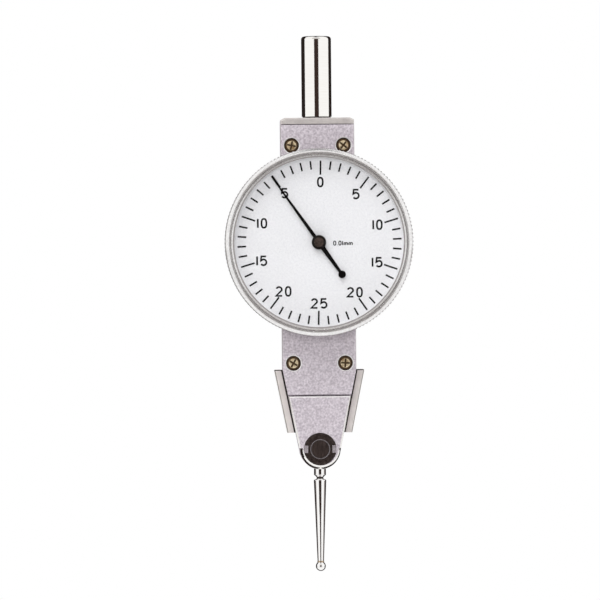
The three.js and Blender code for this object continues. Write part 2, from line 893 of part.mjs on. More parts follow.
// Tapered shaft with a thread at its top and a cup at its lower end for the ball
function contactPoint() {
  const top = -collarDrop - contactGap;
  const body = upright([
    [0, -collarDrop + threadLength],
    [0, -contactRadius],
    [contactTipRadius, -contactRadius],
    [contactTopRadius, top - contactTopEdge],
    [contactTopRadius - contactTopEdge, top],
    [threadRadius, top],
    [threadRadius, -collarDrop + threadLength],
  ]);
  return cut(body, ball(ballRadius + seat));
}

function ball(radius) {
  const geometry = new THREE.SphereGeometry(radius, shaftSides, ballBands);
  geometry.rotateX(Math.PI / 2);
  geometry.translate(0, 0, -contactRadius);
  return toSolid(geometry);
}

function dialPan() {
  const rimFront = panBack - panDepth;
  const groove = panRadius - snapWireRadius - runningGap;
  const grooveHalf = snapWireRadius + runningGap;
  const body = turned(
    [
      [panHoleRadius, panFront],
      [panRadius - panWall, panFront],
      [panRadius - panWall, rimFront],
      [panRadius, rimFront],
      [panRadius, snapWireLevel - grooveHalf],
      [groove, snapWireLevel - grooveHalf],
      [groove, snapWireLevel + grooveHalf],
      [panRadius, snapWireLevel + grooveHalf],
      [panRadius, panBack],
      [panHoleRadius, panBack],
    ],
    ringSides,
  );
  const holes = panScrewPlaces.map(([x, z]) =>
    screwHole(smallScrew, panFront - overrun, panBack + overrun, x, z),
  );
  return cut(body, ...holes);
}

function bezelRing() {
  const groove = bezelBore + snapWireRadius + runningGap;
  const grooveHalf = snapWireRadius + runningGap;
  const faceLevel = bezelFront + bezelFrontEdge;
  return turned(
    [
      [bezelFaceRadius - bezelFaceWidth, bezelFront],
      [bezelFaceRadius, bezelFront],
      [bezelRadius, faceLevel],
      [bezelRadius, bezelBack],
      [bezelBore, bezelBack],
      [bezelBore, snapWireLevel + grooveHalf],
      [groove, snapWireLevel + grooveHalf],
      [groove, snapWireLevel - grooveHalf],
      [bezelBore, snapWireLevel - grooveHalf],
      [bezelBore, dialRingBack + runningGap],
      [dialRadius + runningGap, dialRingBack + runningGap],
      [dialRadius + runningGap, dialFront - seat],
      [openingRadius, dialFront - seat],
      [openingRadius, crystalBack + seat],
      [crystalRadius + seat, crystalBack + seat],
      [crystalRadius + seat, bezelFront + bezelLipDrop],
    ],
    ringSides,
  );
}

// Open ring of spring wire, half in the pan's groove and half in the bezel's
function snapWire() {
  class OpenRing extends THREE.Curve {
    getPoint(share) {
      const clockAngle = snapWireOpening / 2 + share * (2 * Math.PI - snapWireOpening);
      const [x, z] = polar(panRadius + runningGap / 2, clockAngle);
      return new THREE.Vector3(x, snapWireLevel, z);
    }
  }
  const section = new THREE.Shape().absarc(0, 0, snapWireRadius, 0, 2 * Math.PI);
  const geometry = new THREE.ExtrudeGeometry(section, {
    steps: snapWireSteps,
    curveSegments: snapWireSides / 2,
    extrudePath: new OpenRing(),
  });
  return toSolid(geometry);
}

function crystal() {
  return turned(
    [
      [0, crystalFront],
      [crystalRadius - crystalEdge, crystalFront],
      [crystalRadius, crystalFront + crystalEdge],
      [crystalRadius, crystalBack],
      [0, crystalBack],
    ],
    ringSides,
  );
}

function pointer() {
  const discAngle = Math.asin(pointerTailEndWidth / 2 / pointerDiscRadius);
  const rootAngle = Math.asin(pointerRootWidth / 2 / pointerEyeRadius);
  const tailAngle = Math.asin(pointerTailWidth / 2 / pointerEyeRadius);
  const up = Math.PI / 2;
  const shape = new THREE.Shape();
  shape.moveTo(-pointerTipWidth / 2, pointerLength);
  shape.lineTo(pointerTipWidth / 2, pointerLength);
  shape.absarc(0, 0, pointerEyeRadius, up - rootAngle, -up + tailAngle, true);
  shape.absarc(0, -pointerTailLength, pointerDiscRadius, up - discAngle, -3 * up + discAngle, true);
  shape.absarc(0, 0, pointerEyeRadius, -up - tailAngle, -3 * up + rootAngle, true);
  shape.holes.push(roundHole(pointerNeckRadius + seat));
  return slab(shape, pointerFront, pointerFront + pointerThickness);
}

// Cap that holds the pointer, with a neck through it and a blind bore for the arbor
function pointerCap() {
  const capBack = pointerFront - seat;
  const front = capBack - pointerCapHeight;
  const bore = dialArborRadius + seat;
  const boreEnd = pointerFront - pointerCapHeight / 2 - seat;
  const back = pointerFront + pointerNeckLength;
  return turned([
    [0, front],
    [pointerCapRadius - pointerCapEdge, front],
    [pointerCapRadius, front + pointerCapEdge],
    [pointerCapRadius, capBack],
    [pointerNeckRadius, capBack],
    [pointerNeckRadius, back],
    [bore, back],
    [bore, boreEnd],
    [0, boreEnd],
  ]);
}

function groupAt(z, ...members) {
  const group = new THREE.Group();
  group.position.z = z;
  group.add(...members);
  return group;
}

const indicator = new THREE.Group();

indicator.add(
  piece("case_body", caseBody(), satinChrome),
  piece("front_plate", frontPlate(), satinChrome),
  piece("stem", stem(), brightChrome),
);
plateScrewPlaces.forEach(([x, z], index) => {
  const place = { x, y: caseFront + plateScrew.headHeight, z };
  indicator.add(piece(`plate_screw_${index + 1}`, screw(plateScrew, 2), darkBrass, place));
});

indicator.add(
  piece("base_plate", basePlate(), brass),
  piece("bridge_plate", bridgePlate(), brass),
);
pillarPlaces.forEach(([x, z], index) => {
  indicator.add(piece(`pillar_${index + 1}`, pillar(), brass, { x, z }));
  const place = { x, y: bridgeFront - seat, z };
  indicator.add(piece(`bridge_screw_${index + 1}`, screw(smallScrew, 1), brightSteel, place));
});
baseScrewPlaces.forEach(([x, z], index) => {
  const place = { x, y: basePlateFront - seat, z };
  indicator.add(piece(`base_screw_${index + 1}`, screw(smallScrew, 1), brightSteel, place));
});
const jewelPlaces = { dial: dialZ, wheel: wheelZ, sector: sectorZ };
const frontJewelLevel = bridgeFront + (bridgeThickness - jewelHeight) / 2;
const backJewelLevel = basePlateFront + (basePlateThickness - jewelHeight) / 2;
for (const [arborName, z] of Object.entries(jewelPlaces)) {
  indicator.add(
    piece(`${arborName}_front_jewel`, jewel(), ruby, { y: frontJewelLevel, z }),
    piece(`${arborName}_back_jewel`, jewel(), ruby, { y: backJewelLevel, z }),
  );
}

const panScrews = panScrewPlaces.map(([x, z], index) =>
  piece(`pan_screw_${index + 1}`, screw(smallScrew, 1), brightSteel, { x, y: panFront - seat, z }),
);
const springEnd = springInnerRadius + springPitch * springTurns + springStrip;
const [studX, studZ] = polar(springEnd + runningGap + studRadius, springTurns * 2 * Math.PI);
indicator.add(
  groupAt(
    dialZ,
    piece("dial_pan", dialPan(), satinChrome),
    ...panScrews,
    piece("bezel_ring", bezelRing(), bezelMetal),
    piece("bezel_spring", snapWire(), brightSteel),
    piece("crystal", crystal(), clear),
    piece("dial_plate", ring(dialRadius, dialHoleRadius, dialFront, dialBack, ringSides), dialWhite),
    piece(
      "dial_ring",
      ring(dialRadius, dialRadius - dialRingWidth, dialBack + seat, dialRingBack, ringSides),
      brightSteel,
    ),
    piece("centre_arbor", dialArbor(), brightSteel),
    piece("hairspring", hairspring(), blueSteel),
    piece("hairspring_collet", hairspringCollet(), brass),
    piece("hairspring_stud", springStud(), brass, { x: studX, z: studZ }),
    piece("pointer", pointer(), blackPaint, { turn: restClockAngle }),
    piece("pointer_hub", pointerCap(), blackSteel),
  ),
  groupAt(
    wheelZ,
    piece("wheel", wheel(), brass),
    piece("wheel_arbor", wheelArbor(), brightSteel),
  ),
  groupAt(
    sectorZ,
    piece("sector_gear", sectorGear(), brass),
    piece("sector_arbor", arbor(arborRadius), brightSteel),
  ),
  groupAt(
    pivotZ,
    piece("lever_arm", leverArm(), brightSteel),
    piece("lever_pin", drivePin(), brightSteel, { z: leverLength }),
    piece("pivot_nut", pivotNut(), blackSteel),
    piece("pivot_axle", pivotAxle(), blackSteel),
    piece("bearing_screw", bearingScrew(), brightSteel),
    piece("clutch_washer", clutchWasher(), brightSteel),
    piece("stylus_hub", stylusHub(), brightChrome),
    piece("contact_point", contactPoint(), brightChrome),
    piece("ball_tip", ball(ballRadius), brightChrome),
  ),
);

export default indicator;
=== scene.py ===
"""A lever-type dial test indicator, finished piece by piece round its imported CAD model.

Lengths are in metres. The origin is the middle of the stem's flat end, +Z runs up the stem, the dial
faces -Y and +X is on the reader's right. A clock angle runs clockwise from twelve, seen from the front.
"""

import json
import math

import bmesh
import bpy
from mathutils import Matrix, Vector


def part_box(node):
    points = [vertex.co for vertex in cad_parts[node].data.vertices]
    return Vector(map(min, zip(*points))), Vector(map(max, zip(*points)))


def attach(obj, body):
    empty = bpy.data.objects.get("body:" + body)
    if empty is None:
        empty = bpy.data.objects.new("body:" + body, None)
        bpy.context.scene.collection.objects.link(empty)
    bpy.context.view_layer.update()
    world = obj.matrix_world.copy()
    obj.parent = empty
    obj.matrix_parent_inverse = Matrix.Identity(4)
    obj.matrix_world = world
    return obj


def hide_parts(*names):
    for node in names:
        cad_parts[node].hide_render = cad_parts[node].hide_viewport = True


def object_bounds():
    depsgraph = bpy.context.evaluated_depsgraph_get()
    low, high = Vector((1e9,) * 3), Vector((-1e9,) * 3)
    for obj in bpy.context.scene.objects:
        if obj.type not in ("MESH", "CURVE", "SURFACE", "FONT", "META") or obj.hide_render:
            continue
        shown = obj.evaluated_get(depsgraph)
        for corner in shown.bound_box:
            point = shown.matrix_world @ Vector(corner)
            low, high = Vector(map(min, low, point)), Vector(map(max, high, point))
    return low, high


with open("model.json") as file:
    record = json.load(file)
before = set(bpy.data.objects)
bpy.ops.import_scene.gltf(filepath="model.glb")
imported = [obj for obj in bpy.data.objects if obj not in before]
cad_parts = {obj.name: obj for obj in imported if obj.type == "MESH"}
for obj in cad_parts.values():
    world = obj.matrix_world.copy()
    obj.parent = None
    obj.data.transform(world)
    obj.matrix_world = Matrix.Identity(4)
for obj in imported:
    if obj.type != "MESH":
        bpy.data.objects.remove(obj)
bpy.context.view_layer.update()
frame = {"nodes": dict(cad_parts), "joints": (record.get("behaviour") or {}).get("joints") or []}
MM = 0.001

# Case body. One block, milled to the sloping outline with its round nose, and satin chrome plated. The
# pocket for the movement, the slot for the lever and the fork for the stylus are cut into it, the two
# dovetail rails on its sloping sides are ground, and the nose's front rim is turned to a bright chamfer.
case_low, case_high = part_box("case_body")
plate_low, plate_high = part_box("front_plate")
joint_place = {joint["name"]: joint["pos_m"] for joint in frame["joints"]}
dial_z = joint_place["pointer_spin"][2]
pivot_z = joint_place["lever_swing"][2]
case_front, case_back = case_low.y, case_high.y
case_top = case_high.z
half_width = plate_high.x
nose_radius = pivot_z - case_low.z
straight_side = 50 * MM
taper_top = case_top - straight_side
edge_chamfer = 0.25 * MM
nose_chamfer = 0.3 * MM
fine_edge = 0.08 * MM
plate_seat = 0.05 * MM
overrun = 2 * MM
taper_run = taper_top - pivot_z
taper_angle = math.atan2(half_width, taper_run) + math.acos(nose_radius / math.hypot(half_width, taper_run))
taper_angle -= math.pi / 2


def new_piece(name, shape):
    """An object at the origin that holds this bmesh, with its normals outward."""
    bmesh.ops.recalc_face_normals(shape, faces=shape.faces)
    mesh = bpy.data.meshes.new(name)
    shape.to_mesh(mesh)
    shape.free()
    made = bpy.data.objects.new(name, mesh)
    bpy.context.scene.collection.objects.link(made)
    return made


def smooth_faces(made, sharp_from=32):
    """Smooth shading, with each edge sharp that bends more than so many degrees."""
    made.data.shade_smooth()
    made.data.set_sharp_from_angle(angle=math.radians(sharp_from))
    return made


def finished(made, material, sharp_from=32):
    """Smooth shading, and the finish that most of the piece has."""
    made.data.materials.append(material)
    return smooth_faces(made, sharp_from)


def plate_shape(name, outline, front, back, chamfers=(0, 0), steps=2):
    """A flat outline of (x, z) points, as thick as front to back, with a chamfer for each of its rims."""
    shape = bmesh.new()
    near = [shape.verts.new((x, front, z)) for x, z in outline]
    far = [shape.verts.new((x, back, z)) for x, z in outline]
    shape.faces.new(near)
    shape.faces.new(far[::-1])
    count = len(outline)
    for index in range(count):
        after = (index + 1) % count
        shape.faces.new((near[after], near[index], far[index], far[after]))
    bmesh.ops.recalc_face_normals(shape, faces=shape.faces)
    for level, chamfer in zip((front, back), chamfers):
        if chamfer:
            rim = [
                edge for edge in shape.edges
                if all(abs(end.co.y - level) < chamfer / 10 for end in edge.verts)
            ]
            bmesh.ops.bevel(shape, geom=rim, offset=chamfer, segments=steps, profile=0.5, affect="EDGES")
    return new_piece(name, shape)


def turned_shape(name, profile, x=0, z=0, along="Y", steps=96):
    """A closed (radius, level) profile turned about a line along Y through (x, z), or along Z."""
    shape = bmesh.new()
    rings = []
    for radius, level in profile:
        if radius <= 0:
            at = (x, level, z) if along == "Y" else (x, 0, level)
            rings.append([shape.verts.new(at)])
            continue
        ring = []
        for step in range(steps):
            angle = 2 * math.pi * step / steps
            across, up = radius * math.sin(angle), radius * math.cos(angle)
            at = (x + across, level, z + up) if along == "Y" else (x + across, up, level)
            ring.append(shape.verts.new(at))
        rings.append(ring)
    for index, ring in enumerate(rings):
        after = rings[(index + 1) % len(rings)]
        if len(ring) == 1 and len(after) == 1:
            continue
        for step in range(steps):
            following = (step + 1) % steps
            corners = [ring[step % len(ring)], ring[following % len(ring)]]
            corners += [after[following % len(after)], after[step % len(after)]]
            shape.faces.new(list(dict.fromkeys(corners)))
    return new_piece(name, shape)


def eased(profile, radius, steps=3):
    """The closed profile with each corner off the axis rounded, by less where its sides are short."""
    side_share = 0.45
    points = []
    for index, (across, level) in enumerate(profile):
        corner = Vector((across, level))
        before, after = Vector(profile[index - 1]), Vector(profile[(index + 1) % len(profile)])
        to_before, to_after = before - corner, after - corner
        if across <= 0 or to_before.length == 0 or to_after.length == 0:
            points.append((across, level))
            continue
        reach = min(radius, side_share * to_before.length, side_share * to_after.length)
        start = corner + to_before.normalized() * reach
        end = corner + to_after.normalized() * reach
        for step in range(steps + 1):
            share = step / steps
            point = start.lerp(corner, share).lerp(corner.lerp(end, share), share)
            points.append((point.x, point.y))
    return points


def spread(ends, steps):
    return [ends[0] + (ends[1] - ends[0]) * step / steps for step in range(steps + 1)]


def arc(x, z, radius, first, last, steps):
    """Points of an arc in X and Z, with its angles from +X towards +Z."""
    angles = spread((first, last), steps)
    return [(x + radius * math.cos(angle), z + radius * math.sin(angle)) for angle in angles]


def box_shape(left, right, front, back, bottom, top):
    return plate_shape("box", [(left, bottom), (right, bottom), (right, top), (left, top)], front, back)


def box_across(half, front, back, bottom, top):
    """A box that reaches as far to the left of the middle as to the right."""
    return box_shape(-half, half, front, back, bottom, top)


def sides(*steps):
    """The corners of a stepped profile, whose steps are each a radius and the levels it goes through."""
    return [(radius, level) for radius, *levels in steps for level in levels]


def stepped(*steps, bore=0):
    """The closed profile of a stepped shaft or ring, from its front to its back."""
    corners = sides(*steps)
    return [(bore, corners[0][1]), *corners, (bore, corners[-1][1])]


def drill(radius, front, back, x=0, z=0, mouth=0, mouth_level=0, steps=48):
    """A cutter for a round hole, with a chamfer at the mouth where the drill goes in from the front."""
    profile = stepped((radius, front, back))
    if mouth:
        wide = radius + mouth + (mouth_level - front)
        profile = [(0, front), (wide, front), (radius, mouth_level + mouth), (radius, back), (0, back)]
    return turned_shape("drill", profile, x, z, steps=steps)


def keep_shape(made):
    """Turns what the modifiers make into the object's own plain mesh."""
    graph = bpy.context.evaluated_depsgraph_get()
    mesh = bpy.data.meshes.new_from_object(made.evaluated_get(graph), depsgraph=graph)
    made.modifiers.clear()
    made.data = mesh


def combined(made, others, operation="DIFFERENCE"):
    """Cuts the others out of the piece, or joins them to it, and uses them up."""
    for other in others:
        step = made.modifiers.new("combine", "BOOLEAN")
        step.operation = operation
        step.solver = "EXACT"
        step.object = other
    keep_shape(made)
    for other in others:
        bpy.data.objects.remove(other)
    return made


def edges_broken(made, width, sharp_from=35):
    """Breaks each sharp edge by a small chamfer, as a machinist's file does."""
    step = made.modifiers.new("edges", "BEVEL")
    step.width = width
    step.segments = 2
    step.limit_method = "ANGLE"
    step.angle_limit = math.radians(sharp_from)
    step.miter_outer = "MITER_ARC"
    keep_shape(made)
    smooth_faces(made)


def add_node(tree, kind, inputs=None, **settings):
    """A node with its settings, whose inputs take the values or are joined to the sockets given."""
    node = tree.nodes.new(kind)
    for name, value in settings.items():
        setattr(node, name, value)
    for key, value in (inputs or {}).items():
        if isinstance(value, bpy.types.NodeSocket):
            tree.links.new(value, node.inputs[key])
        else:
            node.inputs[key].default_value = value
    return node


def worked(tree, operation, first, second=0.0, clamp=False):
    """What a Math node makes of two values or sockets."""
    inputs = {0: first, 1: second}
    return add_node(tree, "ShaderNodeMath", inputs, operation=operation, use_clamp=clamp).outputs[0]


def mixed_colour(tree, share, first, second):
    """A colour between two, each of them a socket or a linear colour."""
    inputs = {"Factor": share, 6: first, 7: second}
    return add_node(tree, "ShaderNodeMix", inputs, data_type="RGBA").outputs[2]


def new_group(name, kind, takes, gives):
    """An empty node group and its two ends. Each input has a kind, or a number that it starts from."""
    tree = bpy.data.node_groups.new(name, kind)
    for label, value in takes.items():
        socket = value if isinstance(value, str) else type(value).__name__.capitalize()
        made = tree.interface.new_socket(label, in_out="INPUT", socket_type="NodeSocket" + socket)
        if value != socket:
            made.default_value = value
    for label, socket in gives.items():
        tree.interface.new_socket(label, in_out="OUTPUT", socket_type="NodeSocket" + socket)
    return tree, tree.nodes.new("NodeGroupInput").outputs, tree.nodes.new("NodeGroupOutput").inputs


def shader_group(name, takes, *gives):
    return new_group(name, "ShaderNodeTree", takes, {label: "Float" for label in gives})


def geometry_group(name, takes):
    both_ends = {"Geometry": "Geometry"}
    return new_group(name, "GeometryNodeTree", {**both_ends, **takes}, both_ends)


def counted_in(tree, place, size):
    """The place, counted in steps of this size."""
    inputs = {0: place, "Scale": worked(tree, "DIVIDE", 1.0, size)}
    return add_node(tree, "ShaderNodeVectorMath", inputs, operation="SCALE").outputs[0]


def grain_group():
    """Fine mottle of a blasted and plated surface: Shade and Height vary with the grain's size."""
    takes = {"Place": "Vector", "Grain": 0.0003}
    tree, given, out = shader_group("plated_grain", takes, "Shade", "Height")
    grains = counted_in(tree, given["Place"], given["Grain"])
    for result, scale, detail in (("Shade", 0.6, 3.0), ("Height", 1.7, 2.0)):
        noise = add_node(tree, "ShaderNodeTexNoise", {"Vector": grains, "Scale": scale, "Detail": detail})
        tree.links.new(noise.outputs["Fac"], out[result])
    return tree


def marks_group():
    """Tool marks of a turned face: rings about the Y line through the origin of Place."""
    takes = {"Place": "Vector", "Feed": 0.00006}
    tree, given, out = shader_group("turning_marks", takes, "Shade", "Height")
    flat = add_node(tree, "ShaderNodeVectorMath", {0: given["Place"], 1: (1, 0, 1)}, operation="MULTIPLY")
    radius = add_node(tree, "ShaderNodeVectorMath", {0: flat.outputs[0]}, operation="LENGTH")
    feeds = worked(tree, "DIVIDE", radius.outputs["Value"], given["Feed"])
    inputs = {"W": feeds, "Scale": 1.0, "Detail": 2.0}
    rings = add_node(tree, "ShaderNodeTexNoise", inputs, noise_dimensions="1D")
    for result in ("Shade", "Height"):
        tree.links.new(rings.outputs["Fac"], out[result])
    return tree


def handling_group():
    """Wide soft patches where hands and cloths have changed the gloss a little."""
    tree, given, out = shader_group("handling", {"Place": "Vector", "Size": 0.006}, "Mask")
    patches = counted_in(tree, given["Place"], given["Size"])
    cloud = add_node(tree, "ShaderNodeTexNoise", {"Vector": patches, "Scale": 1.0, "Detail": 4.0})
    tree.links.new(cloud.outputs["Fac"], out["Mask"])
    return tree


def bright_edge_group():
    """A mask that is 1 where the surface bends within Width, as where a dark finish has rubbed through."""
    tree, given, out = shader_group("bright_edges", {"Width": 0.0001}, "Mask")
    rounded = add_node(tree, "ShaderNodeBevel", {"Radius": given["Width"]}, samples=4).outputs[0]
    plain = add_node(tree, "ShaderNodeNewGeometry").outputs["Normal"]
    turn = add_node(tree, "ShaderNodeVectorMath", {0: rounded, 1: plain}, operation="DOT_PRODUCT")
    limits = {"From Min": 0.985, "From Max": 0.9, "To Min": 0.0, "To Max": 1.0}
    bent = add_node(tree, "ShaderNodeMapRange", {"Value": turn.outputs["Value"], **limits})
    tree.links.new(bent.outputs[0], out["Mask"])
    return tree


plated_grain = grain_group()
turning_marks = marks_group()
handling = handling_group()
bright_edges = bright_edge_group()


def linear(*colour):
    """A colour seen on screen, in parts of 255, as the shaders count it."""
    shares = [part / 255 for part in colour]
    return [part / 12.92 if part <= 0.04045 else ((part + 0.055) / 1.055) ** 2.4 for part in shares] + [1]


def new_finish(name, metallic, rough, specular=0.5):
    """A material's tree, its Principled shader, and Object coordinates to hang its patterns on."""
    material = bpy.data.materials.new(name)
    material.use_nodes = True
    tree = material.node_tree
    shader = tree.nodes["Principled BSDF"]
    shader.inputs["Metallic"].default_value = metallic
    shader.inputs["Roughness"].default_value = rough
    shader.inputs["Specular IOR Level"].default_value = specular
    place = add_node(tree, "ShaderNodeTexCoord").outputs["Object"]
    return material, tree, shader, place


def centred(tree, place, middle, stretch=(1, 1, 1)):
    """Object coordinates counted from the middle of a piece, and stretched for long marks."""
    away = [-part * factor for part, factor in zip(middle, stretch)]
    inputs = {"Vector": place, "Location": away, "Scale": stretch}
    return add_node(tree, "ShaderNodeMapping", inputs).outputs[0]


def between(tree, mask, low, high):
    """A mask spread from one value to another."""
    inputs = {"Value": mask, "From Min": 0.3, "From Max": 0.7, "To Min": low, "To Max": high}
    return add_node(tree, "ShaderNodeMapRange", inputs).outputs[0]


def tinted(tree, mask, dark, pale):
    """A colour that goes from dark to pale with the mask."""
    return mixed_colour(tree, between(tree, mask, 0.0, 1.0), linear(*dark), linear(*pale))


def use_group(tree, group, place, **sizes):
    """One of the shared surface effects, with this finish's own sizes."""
    node = add_node(tree, "ShaderNodeGroup", node_tree=group)
    if place is not None:
        tree.links.new(place, node.inputs["Place"])
    for name, value in sizes.items():
        node.inputs[name].default_value = value
    return node.outputs


def set_look(tree, shader, colour, rough=None, height=None, depth=0):
    """Joins a colour to the shader, and a roughness and a bump of this depth where they are given."""
    tree.links.new(colour, shader.inputs["Base Color"])
    if rough is not None:
        tree.links.new(rough, shader.inputs["Roughness"])
    if height is not None:
        bump = add_node(tree, "ShaderNodeBump", {"Height": height, "Distance": depth, "Strength": 1.0})
        tree.links.new(bump.outputs[0], shader.inputs["Normal"])


def grained_finish(
    name, dark, pale, grain, depth, metallic=0.0, rough=0.5, specular=0.5, marks=None, hand=None
):
    """A finish with a fine mottle from dark to pale, whose grain and depth are in millimetres.

    Marks are a middle and a stretch that make the grain long. Rough is one value, or two between which
    it goes with the grain, or with patches of handling where hand is their size.
    """
    low, high = rough if isinstance(rough, tuple) else (rough, rough)
    material, tree, shader, place = new_finish(name, metallic, low, specular)
    grain_place = centred(tree, place, *marks) if marks else place
    mottle = use_group(tree, plated_grain, grain_place, Grain=grain * MM)
    gloss = None
    if high > low:
        patches = use_group(tree, handling, place, Size=hand)["Mask"] if hand else mottle["Height"]
        gloss = between(tree, patches, low, high)
    set_look(tree, shader, tinted(tree, mottle["Shade"], dark, pale), gloss, mottle["Height"], depth * MM)
    return material


def plated_finish(name, dark, pale, rough, metallic, grain, depth):
    """A grained finish whose gloss goes a little up and down where it has been handled."""
    play, patch_size = 0.05, 7 * MM
    gloss = (rough - play, rough + play)
    return grained_finish(name, dark, pale, grain, depth, metallic, gloss, hand=patch_size)


satin_chrome = plated_finish("satin_chrome", (183, 173, 182), (233, 225, 232), 0.5, 0.25, 0.24, 0.015)
ground_rail = plated_finish("ground_rail", (221, 216, 211), (230, 225, 220), 0.4, 0.1, 0.9, 0.006)
# A grey painted as shade on the rails' outer corners.
rail_corner_shade_grey = plated_finish("rail_corner_shade_grey", (132, 126, 122), (156, 150, 146), 0.4, 0.1, 0.6, 0.004)
# A near-black finish painted as shade in narrow grooves and gaps.
painted_shade = plated_finish("painted_shade", (34, 28, 25), (50, 43, 39), 0.7, 0.1, 0.3, 0.01)
ground_edge = plated_finish("ground_edge", (194, 187, 185), (214, 208, 204), 0.4, 0.25, 0.9, 0.006)
polished_edge = plated_finish("polished_edge", (246, 243, 240), (253, 251, 248), 0.12, 1.0, 0.5, 0.001)
# A near-white matt finish painted as a highlight on narrow chamfers.
painted_highlight_edge = plated_finish("painted_highlight_edge", (250, 248, 246), (255, 254, 252), 0.4, 0.0, 0.5, 0.002)


def finish_faces(made, material, wanted):
    """Gives one more finish to the faces whose centre and normal are as wanted."""
    made.data.materials.append(material)
    for face in made.data.polygons:
        if wanted(face.center, face.normal):
            face.material_index = len(made.data.materials) - 1


def is_sloping(normal):
    """Whether a face leans between the front and a side, as a chamfer does."""
    return -0.9 < normal.y < -0.4


def side_of_case(z):
    """How far the case's straight and sloping side is from the stem's line at this height."""
    return half_width - max(0, taper_top - z) * math.tan(taper_angle)


corner_width, corner_drop = 0.8 * MM, 0.4 * MM
nose_arc = arc(0, pivot_z, nose_radius, -taper_angle, taper_angle - math.pi, 64)
case_outline = [
    (-half_width + corner_width, case_top),
    (half_width - corner_width, case_top),
    (half_width, case_top - corner_drop),
    (half_width, taper_top),
    *nose_arc,
    (-half_width, taper_top),
    (-half_width, case_top - corner_drop),
]

hub_low, hub_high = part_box("stylus_hub")
hub_radius = hub_high.x
fork_half_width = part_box("clutch_washer")[1].y
fork_top = pivot_z + hub_radius + 0.25 * MM
rail_height = 1.62 * MM
rail_head = 3 * MM
rail_flank = math.radians(30)
rail_root = 0.3 * MM
relief_width, relief_depth = 0.33 * MM, 0.5 * MM
rail_corner = 0.2 * MM
rail_end_chamfer = 0.18 * MM


def dovetail_rail(side):
    """One rail: level at both ends, with flanks that lean in to a relief groove along the case."""
    neck = rail_head - (rail_height - relief_width) * math.tan(rail_flank)
    half = [
        (rail_height, rail_head - rail_corner),
        (rail_height - rail_corner * math.cos(rail_flank), rail_head - rail_corner * math.sin(rail_flank)),
        (relief_width, neck),
        (relief_width, neck - relief_depth),
        (-rail_root, neck - relief_depth),
    ]
    section = [(out, -y) for out, y in half[::-1]] + half
    shape = bmesh.new()
    rings = []
    for z, inset in ((taper_top, rail_end_chamfer), (taper_top - rail_end_chamfer, 0), (fork_top, 0)):
        ring = []
        for out, y in section:
            out = out - inset if out > relief_width else out
            across = side_of_case(z) + out / math.cos(taper_angle)
            ring.append(shape.verts.new((side * across, y - math.copysign(inset, y), z)))
        rings.append(ring)
    shape.faces.new(rings[0])
    shape.faces.new(rings[-1][::-1])
    for upper, lower in zip(rings, rings[1:]):
        for index in range(len(section)):
            after = (index + 1) % len(section)
            shape.faces.new((upper[after], upper[index], lower[index], lower[after]))
    return new_piece("rail", shape)


pocket_front = plate_high.y + plate_seat
base_low, base_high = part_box("base_plate")
pocket_floor = base_high.y + plate_seat
plate_room = 0.35 * MM
pocket_half_width = base_high.x + plate_room
pocket_bottom, pocket_top = base_low.z - plate_room, base_high.z + plate_room
pocket_corner = 1.5 * MM
lever_low, lever_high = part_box("lever_arm")
lever_room = base_low.y - lever_high.y
lever_floor = lever_high.y + lever_room
lever_pocket_half_width = 3 * MM
lever_slot_half_width = lever_high.x + plate_room
joint_top, joint_bottom, joint_edge = 0.16 * MM, 0.36 * MM, 0.2 * MM
plate_bottom = plate_low.z - joint_bottom
nut_low, nut_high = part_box("pivot_nut")
nut_radius = nut_high.x - 0.09 * MM
axle_radius = 1.1 * MM
bearing_low, bearing_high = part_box("bearing_screw")


def rounded_rectangle(half, bottom, top, corner, steps=8):
    right = math.pi / 2
    return [
        *arc(half - corner, top - corner, corner, right, 0, steps),
        *arc(half - corner, bottom + corner, corner, 0, -right, steps),
        *arc(-half + corner, bottom + corner, corner, -right, -2 * right, steps),
        *arc(-half + corner, top - corner, corner, 2 * right, right, steps),
    ]


def screw_places():
    """The middle of each of the front plate's four screws, as (x, z)."""
    places = []
    for index in range(1, 5):
        low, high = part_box(f"plate_screw_{index}")
        places.append(((low.x + high.x) / 2, (low.z + high.z) / 2))
    return places


def edge_cutter(y, z, width, far):
    """A bar laid along X that takes the corner off the edge between a front face and the face above it."""
    half = 1 * MM
    bar = box_across(far, -half, half, -half, half)
    out = width / 2 - half / math.sqrt(2)
    bar.data.transform(Matrix.Translation((0, y + out, z - out)) @ Matrix.Rotation(math.pi / 4, 4, "X"))
    return bar


def nose_cutter(radius, lean, x, rise, deep):
    """A cutter that turns a chamfer on the nose's front rim, about a line beside and above the pivot's.

    It has this radius at the case's front, and grows by so many parts for each part that it goes in.
    """
    lead, far = 0.3 * MM, nose_radius + overrun
    profile = [
        (radius - lean * lead, case_front - lead),
        (far, case_front - lead),
        (far, case_front + deep),
        (radius + lean * deep, case_front + deep),
    ]
    cone = turned_shape("nose_cone", profile, x, pivot_z + rise)
    nose_top = pivot_z + 0.2 * MM
    return combined(cone, [box_across(far, far_front, 0, far_down, nose_top)], "INTERSECT")


